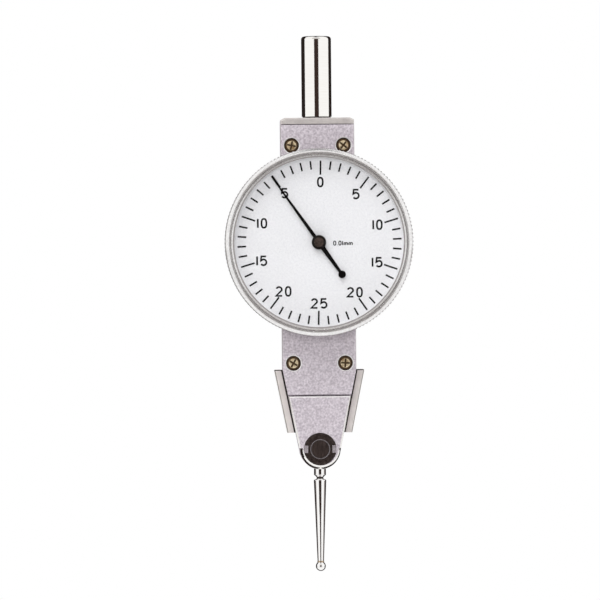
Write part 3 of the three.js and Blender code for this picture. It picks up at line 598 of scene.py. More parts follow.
far_front, far_back = case_front - overrun, case_back + overrun
far_down, far_up = case_low.z - overrun, case_top + overrun
far_side = half_width + rail_height + overrun
case_body = plate_shape("case_block", case_outline, case_front, case_back, (nose_chamfer, edge_chamfer), 1)
combined(case_body, [dovetail_rail(1), dovetail_rail(-1)], "UNION")
pocket = rounded_rectangle(pocket_half_width, pocket_bottom, pocket_top, pocket_corner)
shank_radius, shank_end = 0.8 * MM, pocket_front + 3.2 * MM
slot_top = plate_bottom + edge_chamfer
combined(case_body, [
    box_across(far_side, far_front, pocket_front, plate_bottom, plate_high.z + joint_top),
    edge_cutter(case_front, plate_bottom, joint_edge, far_side),
    plate_shape("pocket", pocket, far_front, pocket_floor),
    box_across(lever_pocket_half_width, far_front, lever_floor, slot_top, pocket_bottom + overrun),
    box_across(lever_slot_half_width, lever_low.y - plate_room, lever_floor, pivot_z, slot_top + overrun),
    drill(lever_slot_half_width, 0, lever_floor, z=pivot_z),
    box_across(far_side, -fork_half_width, fork_half_width, far_down, fork_top),
    drill(nut_radius + plate_seat, far_front, nut_high.y + plate_seat, 0, pivot_z, fine_edge, case_front),
    nose_cutter(radius=3.55 * MM, lean=1.0, x=0.15 * MM, rise=0.3 * MM, deep=0.8 * MM),
    nose_cutter(radius=3.73 * MM, lean=0.4, x=0.14 * MM, rise=0.1 * MM, deep=1.1 * MM),
    drill(axle_radius, far_front, 0, z=pivot_z),
    drill(bearing_high.x + plate_seat, 0, far_back, z=pivot_z),
    *[drill(shank_radius, far_front, shank_end, x, z, steps=24) for x, z in screw_places()],
])
edges_broken(case_body, fine_edge)


def on_rail(spot, normal):
    level = fork_top - fine_edge < spot.z < taper_top + fine_edge
    return level and abs(spot.y) <= rail_head and abs(spot.x) - side_of_case(spot.z) > fine_edge


def on_rail_corner(spot, normal):
    leaning = 0.3 < abs(normal.x) < 0.95
    return on_rail(spot, normal) and leaning and rail_head - rail_corner < abs(spot.y) < rail_head


def in_relief(spot, normal):
    """The relief groove's floor and walls, and the narrow slopes at the rail's upper end, which are painted
    near-black as shade.
    """
    out = abs(spot.x) - side_of_case(spot.z)
    inside = -fine_edge < out < relief_width / math.cos(taper_angle) + fine_edge / 2
    inside = inside and abs(spot.y) < rail_head and abs(normal.y) > 0.2
    end = spot.z > taper_top - rail_end_chamfer and normal.z < 0.9 and out > fine_edge
    return fork_top < spot.z < taper_top and (inside or end)


def on_joint_edge(spot, normal):
    near = abs(spot.z - plate_bottom) < joint_edge and spot.y < case_front + joint_edge
    return is_sloping(normal) and near


def on_nose_chamfer(spot, normal):
    """The turned chamfer round the nose and, above the pivot, the milled one on the case's long edges."""
    if spot.z > pivot_z + nose_chamfer:
        below_joint = spot.z < plate_bottom - joint_edge
        return is_sloping(normal) and spot.y < case_front + nose_chamfer and below_joint
    turned_deep = 1.2 * MM
    beyond_nut = math.hypot(spot.x, spot.z - pivot_z) > nut_radius + plate_seat
    return -0.9 < normal.y < -0.3 and spot.y < case_front + turned_deep and beyond_nut


def on_top_band(spot, normal):
    return spot.z > plate_high.z and spot.y < case_front + nose_chamfer and normal.y < -0.4


case_body.data.materials.append(satin_chrome)
finish_faces(case_body, ground_rail, on_rail)
# The rails' outer corners are painted grey as shade.
finish_faces(case_body, rail_corner_shade_grey, on_rail_corner)
# The chamfer on the joint edge below the front plate is painted near-white as a highlight.
finish_faces(case_body, painted_highlight_edge, on_joint_edge)
# The relief grooves and the rails' upper end slopes are painted near-black as shade.
finish_faces(case_body, painted_shade, in_relief)
finish_faces(case_body, polished_edge, on_nose_chamfer)
finish_faces(case_body, ground_edge, on_top_band)
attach(case_body, "case")
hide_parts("case_body")

# Movement frame. Two brass plates held apart by three pillars carry the ruby bearings of the arbors.
# Small steel screws hold the frame together and to the case's floor.
brushed_along = ((0, 0, dial_z), (6, 1, 0.4))
movement_brass = grained_finish(
    "movement_brass", (186, 152, 84), (214, 184, 116), 0.4, 0.004, 1.0, (0.24, 0.38), marks=brushed_along
)
bright_steel = grained_finish(
    "bright_steel", (186, 186, 184), (214, 213, 210), 0.2, 0.003, 1.0, (0.2, 0.34)
)


def ruby_finish():
    material, tree, shader, place = new_finish("ruby", 0.0, 0.06)
    cloudy = use_group(tree, handling, place, Size=0.8 * MM)
    set_look(tree, shader, tinted(tree, cloudy["Mask"], (150, 8, 40), (192, 30, 70)))
    shader.inputs["Coat Weight"].default_value = 0.5
    return material


def finish_nodes(names, material):
    """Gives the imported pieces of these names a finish."""
    for name in names:
        node = frame["nodes"][name]
        node.data.materials.clear()
        node.data.materials.append(material)


thirds = (1, 2, 3)
finish_nodes(["base_plate", "bridge_plate", *[f"pillar_{index}" for index in thirds]], movement_brass)
finish_nodes([*[f"bridge_screw_{index}" for index in thirds], "base_screw_1", "base_screw_2"], bright_steel)
finish_nodes([name for name in frame["nodes"] if name.endswith("_jewel")], ruby_finish())

# Gear train and hairspring. The toothed sector turns the wheel's pinion, and the wheel turns the pinion
# in the dial's centre. Wheels and collet are brass, arbors hardened steel, the spring a blued strip.
blued_steel = grained_finish("blued_steel", (36, 50, 92), (62, 84, 138), 0.15, 0.002, 1.0, 0.28)
finish_nodes(["wheel", "sector_gear", "hairspring_collet", "hairspring_stud"], movement_brass)
finish_nodes(["wheel_arbor", "sector_arbor", "centre_arbor"], bright_steel)
finish_nodes(["hairspring"], blued_steel)

# Lever. A flat steel arm on the pivot's axle; the pin at its upper end drives the sector's tail, and a
# dished washer presses the stylus hub against it.
finish_nodes(["lever_arm", "lever_pin", "clutch_washer"], bright_steel)

# Front plate. A flat cover of the same satin chrome, cut from the case's outline, that ends in a level
# joint above the pivot. It closes the movement's pocket and has a sunk hole for each screw.
screw_low, screw_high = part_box("plate_screw_1")
screw_head_radius = (screw_high.x - screw_low.x) / 2
screw_hole_radius = screw_head_radius + 0.08 * MM
screw_hole_chamfer = 0.15 * MM
screw_hole_floor = case_front + 0.9 * MM
dial_hole_radius = 1.2 * MM
front_plate = plate_shape("cover_plate", case_outline, case_front, case_back, (edge_chamfer, 0), 2)
combined(front_plate, [
    box_across(far_side, plate_high.y, far_back, far_down, far_up),
    box_across(far_side, far_front, far_back, plate_high.z, far_up),
    box_across(far_side, far_front, far_back, far_down, plate_low.z),
    drill(dial_hole_radius, far_front, case_back, z=dial_z),
    *[
        drill(screw_hole_radius, far_front, screw_hole_floor, x, z, screw_hole_chamfer, case_front)
        for x, z in screw_places()
    ],
    *[drill(shank_radius, far_front, case_back, x, z, steps=24) for x, z in screw_places()],
])
edges_broken(front_plate, fine_edge)


def on_taper_edge(spot, normal):
    return is_sloping(normal) and spot.z < taper_top


def on_side_chamfer(spot, normal):
    return is_sloping(normal) and abs(spot.x) > half_width - 1.2 * edge_chamfer and spot.z > taper_top


def on_screw_mouth(spot, normal):
    reach = screw_hole_radius + 2 * screw_hole_chamfer
    return is_sloping(normal) and any(math.hypot(spot.x - x, spot.z - z) < reach for x, z in screw_places())


front_plate.data.materials.append(satin_chrome)
finish_faces(front_plate, polished_edge, on_taper_edge)
finish_faces(front_plate, ground_edge, on_side_chamfer)
# The chamfers at the screw holes' mouths are painted near-white as a highlight.
finish_faces(front_plate, painted_highlight_edge, on_screw_mouth)
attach(front_plate, "case")
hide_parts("front_plate")

# Plate screws. Four small cheese-head screws with a cross recess, turned from steel and plated yellow,
# with painted shade round the rim and in the recess. They lie flush, each stopped at its own angle.


def screw_finish():
    material, tree, shader, place = new_finish("screw_plating", 0.5, 0.36)
    patchy = use_group(tree, plated_grain, place, Grain=0.5 * MM)
    edges = use_group(tree, bright_edges, None, Width=0.12 * MM)
    plated = tinted(tree, patchy["Shade"], (164, 130, 86), (250, 236, 200))
    worn = mixed_colour(tree, edges["Mask"], plated, linear(222, 204, 170))
    set_look(tree, shader, worn, between(tree, patchy["Height"], 0.22, 0.42), patchy["Height"], 0.006 * MM)
    return material


def cross_screw(head_radius, head_front, head_back):
    """A head with a low crown, a sloping rim and a cross recess, on a plain shank; the rim and recess faces
    are marked for painted shade.
    """
    crown, rim = 0.08 * MM, 0.46 * MM
    shank, length = 0.7 * MM, 3.2 * MM
    profile = [
        (0, head_front),
        (0.5 * head_radius, head_front + 0.2 * crown),
        (head_radius - rim, head_front + crown),
        *sides((head_radius, head_front + crown + rim, head_back), (shank, head_back, head_back + length)),
        (0, head_back + length),
    ]
    screw = turned_shape("screw", eased(profile, fine_edge), steps=48)
    arm, well_radius = 0.62 * head_radius, 0.17 * head_radius
    half, recess_edge = 0.18 * MM, 0.03 * MM
    near, floor_level = head_front - overrun, head_front + 0.5 * MM
    slots = [
        box_across(long_x, near, floor_level, -long_z, long_z)
        for long_x, long_z in ((arm, half), (half, arm))
    ]
    combined(screw, [*slots, drill(well_radius, near, floor_level, steps=24)])
    edges_broken(screw, recess_edge)
    # The rim and recess faces are marked here to take a dark finish painted as shade.
    recess = screw.data.attributes.new("recess", "BOOLEAN", "FACE")
    for face in screw.data.polygons:
        out = math.hypot(face.center.x, face.center.z)
        sunk = face.center.y > head_front + crown + fine_edge / 2
        recess.data[face.index].value = sunk or out > head_radius - rim - fine_edge / 2
    return screw


def set_inputs(modifier, values):
    """Sets a Geometry Nodes modifier's inputs by the names that the tree shows."""
    for item in modifier.node_group.interface.items_tree:
        if item.item_type == "SOCKET" and item.in_out == "INPUT" and item.name in values:
            modifier[item.identifier] = values[item.name]


def grown(made, tree, values):
    """Runs a Geometry Nodes tree on the object and keeps what it makes as a plain mesh."""
    step = made.modifiers.new("nodes", "NODES")
    step.node_group = tree
    set_inputs(step, values)
    keep_shape(made)
    return smooth_faces(made)


def on_points(tree, points, part, **more):
    """A copy of the part on each point."""
    inputs = {"Points": points, "Instance": part, **more}
    return add_node(tree, "GeometryNodeInstanceOnPoints", inputs).outputs[0]


def real_copies(tree, copies):
    return add_node(tree, "GeometryNodeRealizeInstances", {"Geometry": copies}).outputs[0]


def painted(tree, geometry, finish, **more):
    """The geometry with a finish, on a selection of its faces where one is given."""
    inputs = {"Geometry": geometry, "Material": finish, **more}
    return add_node(tree, "GeometryNodeSetMaterial", inputs).outputs[0]


def geometry_of(tree, part):
    return add_node(tree, "GeometryNodeObjectInfo", {"Object": part}).outputs["Geometry"]


def copies_tree():
    """One copy of an object on each point, turned about Y by the point's own turn."""
    takes = {"Part": "Object", "Finish": "Material", "Recess Finish": "Material"}
    tree, given, out = geometry_group("copies_on_points", takes)
    turn = add_node(tree, "GeometryNodeInputNamedAttribute", {"Name": "turn"}, data_type="FLOAT")
    about = add_node(tree, "ShaderNodeCombineXYZ", {"Y": turn.outputs[0]}).outputs[0]
    copies = on_points(tree, given["Geometry"], geometry_of(tree, given["Part"]), Rotation=about)
    plated = painted(tree, real_copies(tree, copies), given["Finish"])
    recess = add_node(tree, "GeometryNodeInputNamedAttribute", {"Name": "recess"}, data_type="BOOLEAN")
    both = painted(tree, plated, given["Recess Finish"], Selection=recess.outputs[0])
    tree.links.new(both, out["Geometry"])
    return tree


def points_piece(name, places, turns):
    """An object of loose points, each with its turn."""
    mesh = bpy.data.meshes.new(name)
    mesh.from_pydata(places, [], [])
    mesh.attributes.new("turn", "FLOAT", "POINT").data.foreach_set("value", turns)
    made = bpy.data.objects.new(name, mesh)
    bpy.context.scene.collection.objects.link(made)
    return made


screw_seat = case_front + 0.85 * MM
one_screw = cross_screw(screw_head_radius, screw_low.y - screw_seat, 0)
screw_turns = [math.radians(angle) for angle in (12, 38, 31, 4)]
# Dark brown painted as shade on the screws' rims and in their recesses.
screw_painted_shade = grained_finish("screw_painted_shade", (62, 46, 30), (106, 84, 58), 0.2, 0.01, 0.4)
plate_screws = grown(
    points_piece("plate_screws", [(x, screw_seat, z) for x, z in screw_places()], screw_turns),
    copies_tree(),
    {"Part": one_screw, "Finish": screw_finish(), "Recess Finish": screw_painted_shade},
)
bpy.data.objects.remove(one_screw)
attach(plate_screws, "case")
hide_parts(*[f"plate_screw_{index}" for index in range(1, 5)])

# Stem. A 6 mm bar, hardened, ground and polished in hard chrome, with a rounded free end. Its spigot is
# screwed into the case's end wall, and a narrow relief, painted near-black as shade, is turned above the
# shoulder.


def polished_chrome_finish(name, dark, pale, rough, stretch):
    """Hard chrome with faint long marks, a little duller where it has been handled."""
    grain, depth, metallic, gloss = 0.5, 0.0006, 1.0, (rough - 0.02, rough + 0.03)
    marks, patch_size = ((0, 0, 0), stretch), 5 * MM
    return grained_finish(name, dark, pale, grain, depth, metallic, gloss, marks=marks, hand=patch_size)


def turned_piece(name, profile, finish, rounding=0, sharp_from=32, **turning):
    """A turned shape with its corners rounded, smooth shading and its finish."""
    made = turned_shape(name, eased(profile, rounding) if rounding else profile, **turning)
    return finished(made, finish, sharp_from)


stem_low, stem_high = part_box("stem")
stem_radius = stem_high.x
stem_rounding = 0.6 * MM
neck_height, neck_depth = 0.24 * MM, 0.2 * MM
spigot_radius = 2.3 * MM
shoulder_z = case_top + plate_seat
neck_z = shoulder_z + neck_height
stem_profile = [
    *[
        (stem_radius - stem_rounding * (1 - math.sin(angle)), -stem_rounding * (1 - math.cos(angle)))
        for angle in [math.radians(degrees) for degrees in range(0, 91, 15)]
    ],
    *sides(
        (stem_radius, -2 * stem_rounding, shoulder_z + 2 * neck_height, neck_z),
        (stem_radius - neck_depth, neck_z, shoulder_z),
        (spigot_radius, shoulder_z, stem_low.z),
    ),
    (0, stem_low.z),
    (0, 0),
    (stem_radius - 1.2 * stem_rounding, 0),
]
polished_chrome = polished_chrome_finish(
    "polished_chrome", (245, 242, 237), (251, 250, 247), 0.06, (0.3, 0.3, 8)
)
stem = turned_piece("mounting_stem", stem_profile, polished_chrome, along="Z", steps=128)
# The relief above the shoulder is painted near-black as shade.
finish_faces(stem, painted_shade, lambda spot, normal: spot.z < neck_z)
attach(stem, "case")
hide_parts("stem")

# Dial pan. A shallow turned cup of chromed brass behind the dial, screwed to the front plate. Its rim
# has the groove for the snap wire, and the bezel turns on it.
pan_low, pan_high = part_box("dial_pan")
pan_radius = pan_high.x
pan_back, pan_rim = pan_high.y, pan_low.y
wire_low, wire_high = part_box("bezel_spring")
wire_level = (wire_low.y + wire_high.y) / 2
groove_half = 0.35 * MM
groove_front, groove_back = wire_level - groove_half, wire_level + groove_half
pan_wall, pan_floor, pan_hole = 0.8 * MM, 0.5 * MM, 1.5 * MM
pan_profile = stepped(
    (pan_radius - pan_wall, pan_back - pan_floor, pan_rim),
    (pan_radius, pan_rim, groove_front),
    (pan_radius - groove_half, groove_front, groove_back),
    (pan_radius, groove_back, pan_back),
    bore=pan_hole,
)
dial_centre = (0, 0, dial_z)


def turned_finish(name, dark, pale, metallic, rough, feed, grain, depth, specular=0.5, play=0):
    """Metal turned about the dial's centre, whose gloss can go up and down with the tool's marks."""
    material, tree, shader, place = new_finish(name, metallic, rough, specular)
    turned = use_group(tree, turning_marks, centred(tree, place, dial_centre), Feed=feed)
    mottle = use_group(tree, plated_grain, place, Grain=grain)
    gloss = between(tree, turned["Shade"], rough - play, rough + play) if play else None
    set_look(tree, shader, tinted(tree, mottle["Shade"], dark, pale), gloss, turned["Height"], depth)
    return material


def turned_satin_finish(name, dark, pale, rough, feed):
    metallic, grain, depth = 0.9, 0.25 * MM, 0.003 * MM
    return turned_finish(name, dark, pale, metallic, rough, feed, grain, depth, play=0.06)


pan_chrome = turned_satin_finish("pan_chrome", (196, 191, 192), (214, 210, 210), 0.34, 0.09 * MM)
dial_pan = turned_piece("pan_shell", pan_profile, pan_chrome, fine_edge, z=dial_z, steps=144)
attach(dial_pan, "case")
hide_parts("dial_pan")
finish_nodes([f"pan_screw_{index}" for index in thirds], bright_steel)

# Stylus hub. A hardened round eye that fits the fork and turns on the pivot's axle, with a short collar
# below it. The collar's lower end is coned down to the contact point's thread.
collar_radius = 1.2 * MM
collar_top, collar_bottom = pivot_z - 0.7 * hub_radius, hub_low.z
collar_cone, collar_cone_height = 0.5 * MM, 0.45 * MM
hub_eye = 1.1 * MM
hub_rounding, collar_rounding = 0.15 * MM, 0.06 * MM
collar_profile = [
    (0, collar_top),
    (collar_radius, collar_top),
    (collar_radius, collar_bottom + collar_cone_height),
    (collar_radius - collar_cone, collar_bottom),
    (0, collar_bottom),
]
hub_profile = stepped((hub_radius, hub_low.y, hub_high.y))
stylus_chrome = polished_chrome_finish(
    "stylus_chrome", (246, 245, 243), (252, 251, 250), 0.05, (0.4, 0.4, 6)
)
stylus_hub = turned_shape("stylus_eye", eased(hub_profile, hub_rounding), z=pivot_z)
collar = turned_shape("collar", eased(collar_profile, collar_rounding), along="Z", steps=64)
combined(stylus_hub, [collar], "UNION")
combined(stylus_hub, [drill(hub_eye, hub_low.y - overrun, hub_high.y + overrun, z=pivot_z)])
finished(stylus_hub, stylus_chrome)
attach(stylus_hub, "stylus")
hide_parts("stylus_hub")

# Contact point. A slim tapered shaft in hard chrome, whose thread goes into the collar. Its top is coned
# like the collar's end, and its faces in the short gap between the two are painted near-black as shade.
ball_low, ball_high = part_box("ball_tip")
ball_radius = (ball_high.z - ball_low.z) / 2
ball_z = (ball_high.z + ball_low.z) / 2
thread_radius = 0.68 * MM
thread_top, shaft_top = collar_bottom + 0.5 * MM, collar_bottom - 0.25 * MM
shaft_radius, shaft_tip_radius = 1.25 * MM, 0.635 * MM
shaft_cone, shaft_cone_height = 0.52 * MM, 0.3 * MM
shaft_end = ball_z + 0.78 * ball_radius
shaft_slope = (shaft_radius - shaft_tip_radius) / (shaft_top - shaft_cone_height - shaft_end)
ring_step, point_rounding, dark_top = 0.3 * MM, 0.05 * MM, 0.02 * MM
point_profile = [
    (0, thread_top),
    *sides((thread_radius, thread_top, shaft_top), (shaft_radius - shaft_cone, shaft_top)),
    (shaft_radius, shaft_top - shaft_cone_height),
    (shaft_radius - shaft_slope * ring_step, shaft_top - shaft_cone_height - ring_step),
    (shaft_tip_radius + shaft_slope * ring_step, shaft_end + ring_step),
    (shaft_tip_radius, shaft_end),
    (0, shaft_end),
]
contact_point = turned_piece(
    "contact_shaft", point_profile, stylus_chrome, point_rounding, along="Z", steps=64
)
# The shaft's top, in the gap below the collar, is painted near-black as shade.
finish_faces(contact_point, painted_shade, lambda spot, normal: spot.z > shaft_top - dark_top)
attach(contact_point, "stylus")
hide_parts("contact_point")

# Ball tip. A 2 mm ball of hard chromed steel, held on the shaft by a thin ring of yellow braze.
ball_bands = 32
ball_angles = [math.pi * band / ball_bands for band in range(ball_bands)]
ball_profile = [
    *[(ball_radius * math.sin(angle), ball_z + ball_radius * math.cos(angle)) for angle in ball_angles],
    (0, ball_z - ball_radius),
]
ball = turned_piece("measuring_ball", ball_profile, stylus_chrome, sharp_from=60, along="Z", steps=64)
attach(ball, "stylus")
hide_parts("ball_tip")

braze_top, braze_low, braze_bottom = shaft_end + 0.3 * MM, shaft_end - 0.05 * MM, shaft_end - 0.12 * MM
braze_film, braze_swell = 0.02 * MM, 0.05 * MM
braze_profile = [
    (0, braze_top),
    (shaft_tip_radius + braze_film, braze_top),
    (shaft_tip_radius + braze_swell, braze_low),
    (0.6 * shaft_tip_radius, braze_bottom),
    (0, braze_bottom),
]
braze = grained_finish("braze", (172, 150, 124), (206, 188, 164), 0.2, 0.004, 1.0, 0.3)
braze_ring = turned_piece("braze_ring", braze_profile, braze, point_rounding, along="Z", steps=64)
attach(braze_ring, "stylus")

# Pivot. The black ring nut is screwed into the nose's front ear, with two notches for its spanner that
# were milled after blacking and show bare steel. The axle's ground head turns in it, and a slotted
# screw in the rear ear is the other bearing.


def blackened_finish(name, dark, pale, rough, stretch, bare_and_highlight_mask=None):
    """Blacked steel with rubbed edges, and the bare-steel colour where the mask made from its place says
    so, for bare steel and for a painted highlight.
    """
    material, tree, shader, place = new_finish(name, 0.75, rough)
    middle, play, rub_share = (0, 0, pivot_z), 0.08, 0.35
    streaks = use_group(tree, plated_grain, centred(tree, place, middle, stretch), Grain=0.3 * MM)
    edges = use_group(tree, bright_edges, None, Width=0.07 * MM)
    rubbed = worked(tree, "MULTIPLY", edges["Mask"], rub_share)
    colour = mixed_colour(tree, rubbed, tinted(tree, streaks["Shade"], dark, pale), linear(196, 188, 184))
    if bare_and_highlight_mask:
        bare = bare_and_highlight_mask(tree, centred(tree, place, middle))
        colour = mixed_colour(tree, bare, colour, linear(214, 206, 212))
    gloss = between(tree, streaks["Height"], rough - play, rough + play)
    set_look(tree, shader, colour, gloss, streaks["Height"], 0.006 * MM)
    return material


nut_bore, nut_lip, nut_chamfer = 1.8 * MM, 0.15 * MM, 0.12 * MM
nut_notch_reach, nut_notch_depth, nut_notch_half = 0.62 * MM, 0.35 * MM, 0.64 * MM
nut_profile = [
    (nut_bore + nut_lip, nut_low.y),
    (nut_radius - nut_chamfer, nut_low.y),
    (nut_radius, nut_low.y + nut_chamfer),
    (nut_radius, nut_high.y),
    (nut_bore, nut_high.y),
    (nut_bore, nut_low.y + nut_lip),
]


def nut_bare_mask(tree, place):
    """1 in the two milled notches of bare steel, and less on the lip of the bore, where a pale ring is
    painted as a highlight.
    """
    lip_share = 0.4
    parts = add_node(tree, "ShaderNodeSeparateXYZ", {0: place}).outputs
    notch_end = nut_radius - nut_notch_reach - fine_edge
    beyond = worked(tree, "GREATER_THAN", worked(tree, "ABSOLUTE", parts["X"]), notch_end)
    within = worked(tree, "LESS_THAN", worked(tree, "ABSOLUTE", parts["Z"]), nut_notch_half + fine_edge)
    flat = add_node(tree, "ShaderNodeCombineXYZ", {"X": parts["X"], "Y": parts["Z"]}).outputs[0]
    radius = add_node(tree, "ShaderNodeVectorMath", {0: flat}, operation="LENGTH").outputs["Value"]
    # The pale ring on the bore's lip is a painted highlight.
    lip = worked(tree, "MULTIPLY", worked(tree, "LESS_THAN", radius, nut_bore + nut_lip), lip_share)
    return worked(tree, "MAXIMUM", worked(tree, "MULTIPLY", beyond, within), lip)


pivot_nut = turned_shape("ring_nut", eased(nut_profile, 0.04 * MM), z=pivot_z)
notches = []
for side in (-1, 1):
    inner, outer = sorted((side * (nut_radius - nut_notch_reach), side * (nut_radius + overrun)))
    low, high = pivot_z - nut_notch_half, pivot_z + nut_notch_half
    notches.append(box_shape(inner, outer, nut_low.y - overrun, nut_low.y + nut_notch_depth, low, high))
combined(pivot_nut, notches)
blacked_nut = blackened_finish("blacked_nut", (48, 38, 36), (80, 69, 66), 0.4, (1, 1, 1), nut_bare_mask)
finished(pivot_nut, blacked_nut)
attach(pivot_nut, "case")
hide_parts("pivot_nut")

axle_low, axle_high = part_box("pivot_axle")
axle_head_radius = axle_high.x
axle_head_back, axle_step = axle_low.y + 2.1 * MM, lever_high.y + plate_seat
axle_body, axle_journal = 1 * MM, 0.7 * MM
pin_rounding = 0.08 * MM
axle_profile = stepped(
    (axle_head_radius, axle_low.y, axle_head_back),
    (axle_body, axle_head_back, axle_step),
    (axle_journal, axle_step, axle_high.y),
)
blacked_axle = blackened_finish("blacked_axle", (54, 44, 42), (92, 79, 75), 0.36, (6, 1, 0.35))
pivot_axle = turned_piece("axle_pin", axle_profile, blacked_axle, pin_rounding, z=pivot_z, steps=64)
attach(pivot_axle, "lever")
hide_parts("pivot_axle")

bearing_radius = bearing_high.x
bearing_play = 0.1 * MM
bearing_bore, bearing_bore_end = axle_journal + bearing_play, axle_high.y + bearing_play
bearing_slot_half, bearing_slot_deep = 0.2 * MM, 0.2 * MM
bearing_profile = sides(
    (bearing_bore, bearing_low.y),
    (bearing_radius, bearing_low.y, bearing_high.y),
    (0, bearing_high.y, bearing_bore_end),
    (bearing_bore, bearing_bore_end),
)
bearing_screw = turned_shape("rear_bearing", eased(bearing_profile, pin_rounding), z=pivot_z, steps=64)
slot_levels = bearing_high.y - bearing_slot_deep, bearing_high.y + overrun
slot_edges = pivot_z - bearing_slot_half, pivot_z + bearing_slot_half
combined(bearing_screw, [box_across(bearing_radius + overrun, *slot_levels, *slot_edges)])
finished(bearing_screw, bright_steel)
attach(bearing_screw, "case")
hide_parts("bearing_screw")

# Bezel. A turned ring in satin silver that snaps on the pan and turns with the dial. Its face leans back
# and rounds over to the reeded side, and a thin line is turned between the face and the crystal's lip.
bezel_low, bezel_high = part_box("bezel_ring")
bezel_radius = bezel_high.x
bezel_front, bezel_back = bezel_low.y, bezel_high.y
crystal_low, crystal_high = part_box("crystal")
crystal_radius = crystal_high.x
dial_low, dial_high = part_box("dial_plate")
ring_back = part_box("dial_ring")[1].y
reed_radius, reed_depth, reed_count = 0.28 * MM, 0.15 * MM, 150
band_radius = bezel_radius - reed_depth
face_inner = 17.73 * MM
line_width, line_depth = 0.18 * MM, 0.05 * MM
lip_outer, lip_inner = face_inner - line_width, crystal_radius - 0.17 * MM
lip_front, lip_fall, lip_edge = bezel_front + 0.14 * MM, 0.1 * MM, 0.03 * MM
lip_back = crystal_low.y + 0.05 * MM
ring_room = 0.1 * MM
bore_radius, seat_radius = pan_radius + ring_room, dial_high.x + ring_room
seat_back, seat_front = ring_back + ring_room, dial_low.y - plate_seat
ledge_level = crystal_high.y + plate_seat
opening_radius = 16.75 * MM
wire_groove = bore_radius + groove_half
face_lean, round_angle, round_steps = math.radians(9), math.radians(52), 10
rounding = (band_radius - face_inner) / (math.sin(round_angle) - math.sin(face_lean))
band_front = bezel_front + rounding * (math.cos(face_lean) - math.cos(round_angle))
band_edge = 0.05 * MM
flange_front, flange_radius, flange_slope = bezel_back - 0.9 * MM, bezel_radius - 0.08 * MM, 0.12 * MM
back_chamfer, back_radius = 0.15 * MM, bezel_radius - 0.25 * MM
bezel_profile = [
    (lip_inner, lip_back),
    (lip_inner, lip_front + lip_fall + lip_edge),
    (lip_inner + lip_edge, lip_front + lip_fall),
    (lip_outer, lip_front),
    (lip_outer + lip_edge, lip_front + line_depth),
    (face_inner, lip_front + line_depth),
    *[
        (
            face_inner + rounding * (math.sin(angle) - math.sin(face_lean)),
            bezel_front + rounding * (math.cos(face_lean) - math.cos(angle)),
        )
        for angle in spread((face_lean, round_angle), round_steps)
    ],
    *sides(
        (band_radius, band_front + band_edge, flange_front),
        (flange_radius, flange_front + flange_slope, bezel_back - back_chamfer),
        (back_radius, bezel_back),
        (bore_radius, bezel_back, groove_back),
        (wire_groove, groove_back, groove_front),
        (bore_radius, groove_front, seat_back),
        (seat_radius, seat_back, seat_front),
        (opening_radius, seat_front, ledge_level),
        (lip_inner, ledge_level),
    ),
]
reed_overlap = 0.02 * MM
reed_end = flange_front + reed_overlap
reed_profile = [
    (0, band_front),
    (0.5 * reed_radius, band_front),
    *sides((reed_radius, band_front + reed_radius, reed_end), (0, reed_end)),
]


def ring_of_copies_tree():
    """So many copies of an object on a ring about a line along Y."""
    takes = {"Part": "Object", "Count": 12, "Radius": 0.01, "Centre": "Vector", "Finish": "Material"}
    tree, given, out = geometry_group("ring_of_copies", takes)
    sizes = {"Vertices": given["Count"], "Radius": given["Radius"]}
    circle = add_node(tree, "GeometryNodeMeshCircle", sizes).outputs[0]
    inputs = {"Geometry": circle, "Translation": given["Centre"], "Rotation": (math.pi / 2, 0, 0)}
    upright = add_node(tree, "GeometryNodeTransform", inputs).outputs[0]
    both = add_node(tree, "GeometryNodeJoinGeometry")
    tree.links.new(on_points(tree, upright, geometry_of(tree, given["Part"])), both.inputs[0])
    tree.links.new(given["Geometry"], both.inputs[0])
    tree.links.new(painted(tree, real_copies(tree, both.outputs[0]), given["Finish"]), out["Geometry"])
    return tree


bezel_silver = turned_satin_finish("bezel_silver", (230, 228, 228), (244, 243, 242), 0.22, 0.05 * MM)
one_reed = turned_shape("reed", reed_profile, steps=10)
bezel = turned_shape("bezel", eased(bezel_profile, lip_edge, 2), z=dial_z, steps=192)
grown(bezel, ring_of_copies_tree(), {
    "Part": one_reed,
    "Count": reed_count,
    "Radius": bezel_radius - reed_radius,
    "Centre": dial_centre,
    "Finish": bezel_silver,
})
bpy.data.objects.remove(one_reed)


def from_centre(spot):
    return math.hypot(spot.x, spot.z - dial_z)


def on_opening_wall(spot, normal):
    return from_centre(spot) < opening_radius + fine_edge / 2 and spot.y < dial_low.y


def on_reeded_side(spot, normal):
    return from_centre(spot) > band_radius - fine_edge and spot.y > band_front


rim_white = plated_finish("rim_white", (232, 231, 232), (240, 239, 240), 0.5, 0.0, 0.3, 0.002)
# The reeded side takes a darker copy of the bezel's chrome, painted as shade.
reeded_shaded_chrome = plated_finish("reeded_shaded_chrome", (186, 182, 180), (206, 202, 200), 0.4, 0.6, 0.3, 0.004)
finish_faces(bezel, rim_white, on_opening_wall)
finish_faces(bezel, reeded_shaded_chrome, on_reeded_side)
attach(bezel, "bezel")
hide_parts("bezel_ring")
finish_nodes(["bezel_spring", "dial_ring"], bright_steel)

# Dial. A thin aluminium disc in matt white enamel, clamped in the bezel by a ring. Fifty divisions,
# every fifth one longer, and plain upright numbers are printed on it in black ink.


def ink_finish(name, dark, pale):
    return grained_finish(name, dark, pale, 0.2, 0.002, rough=0.55, specular=0.15)


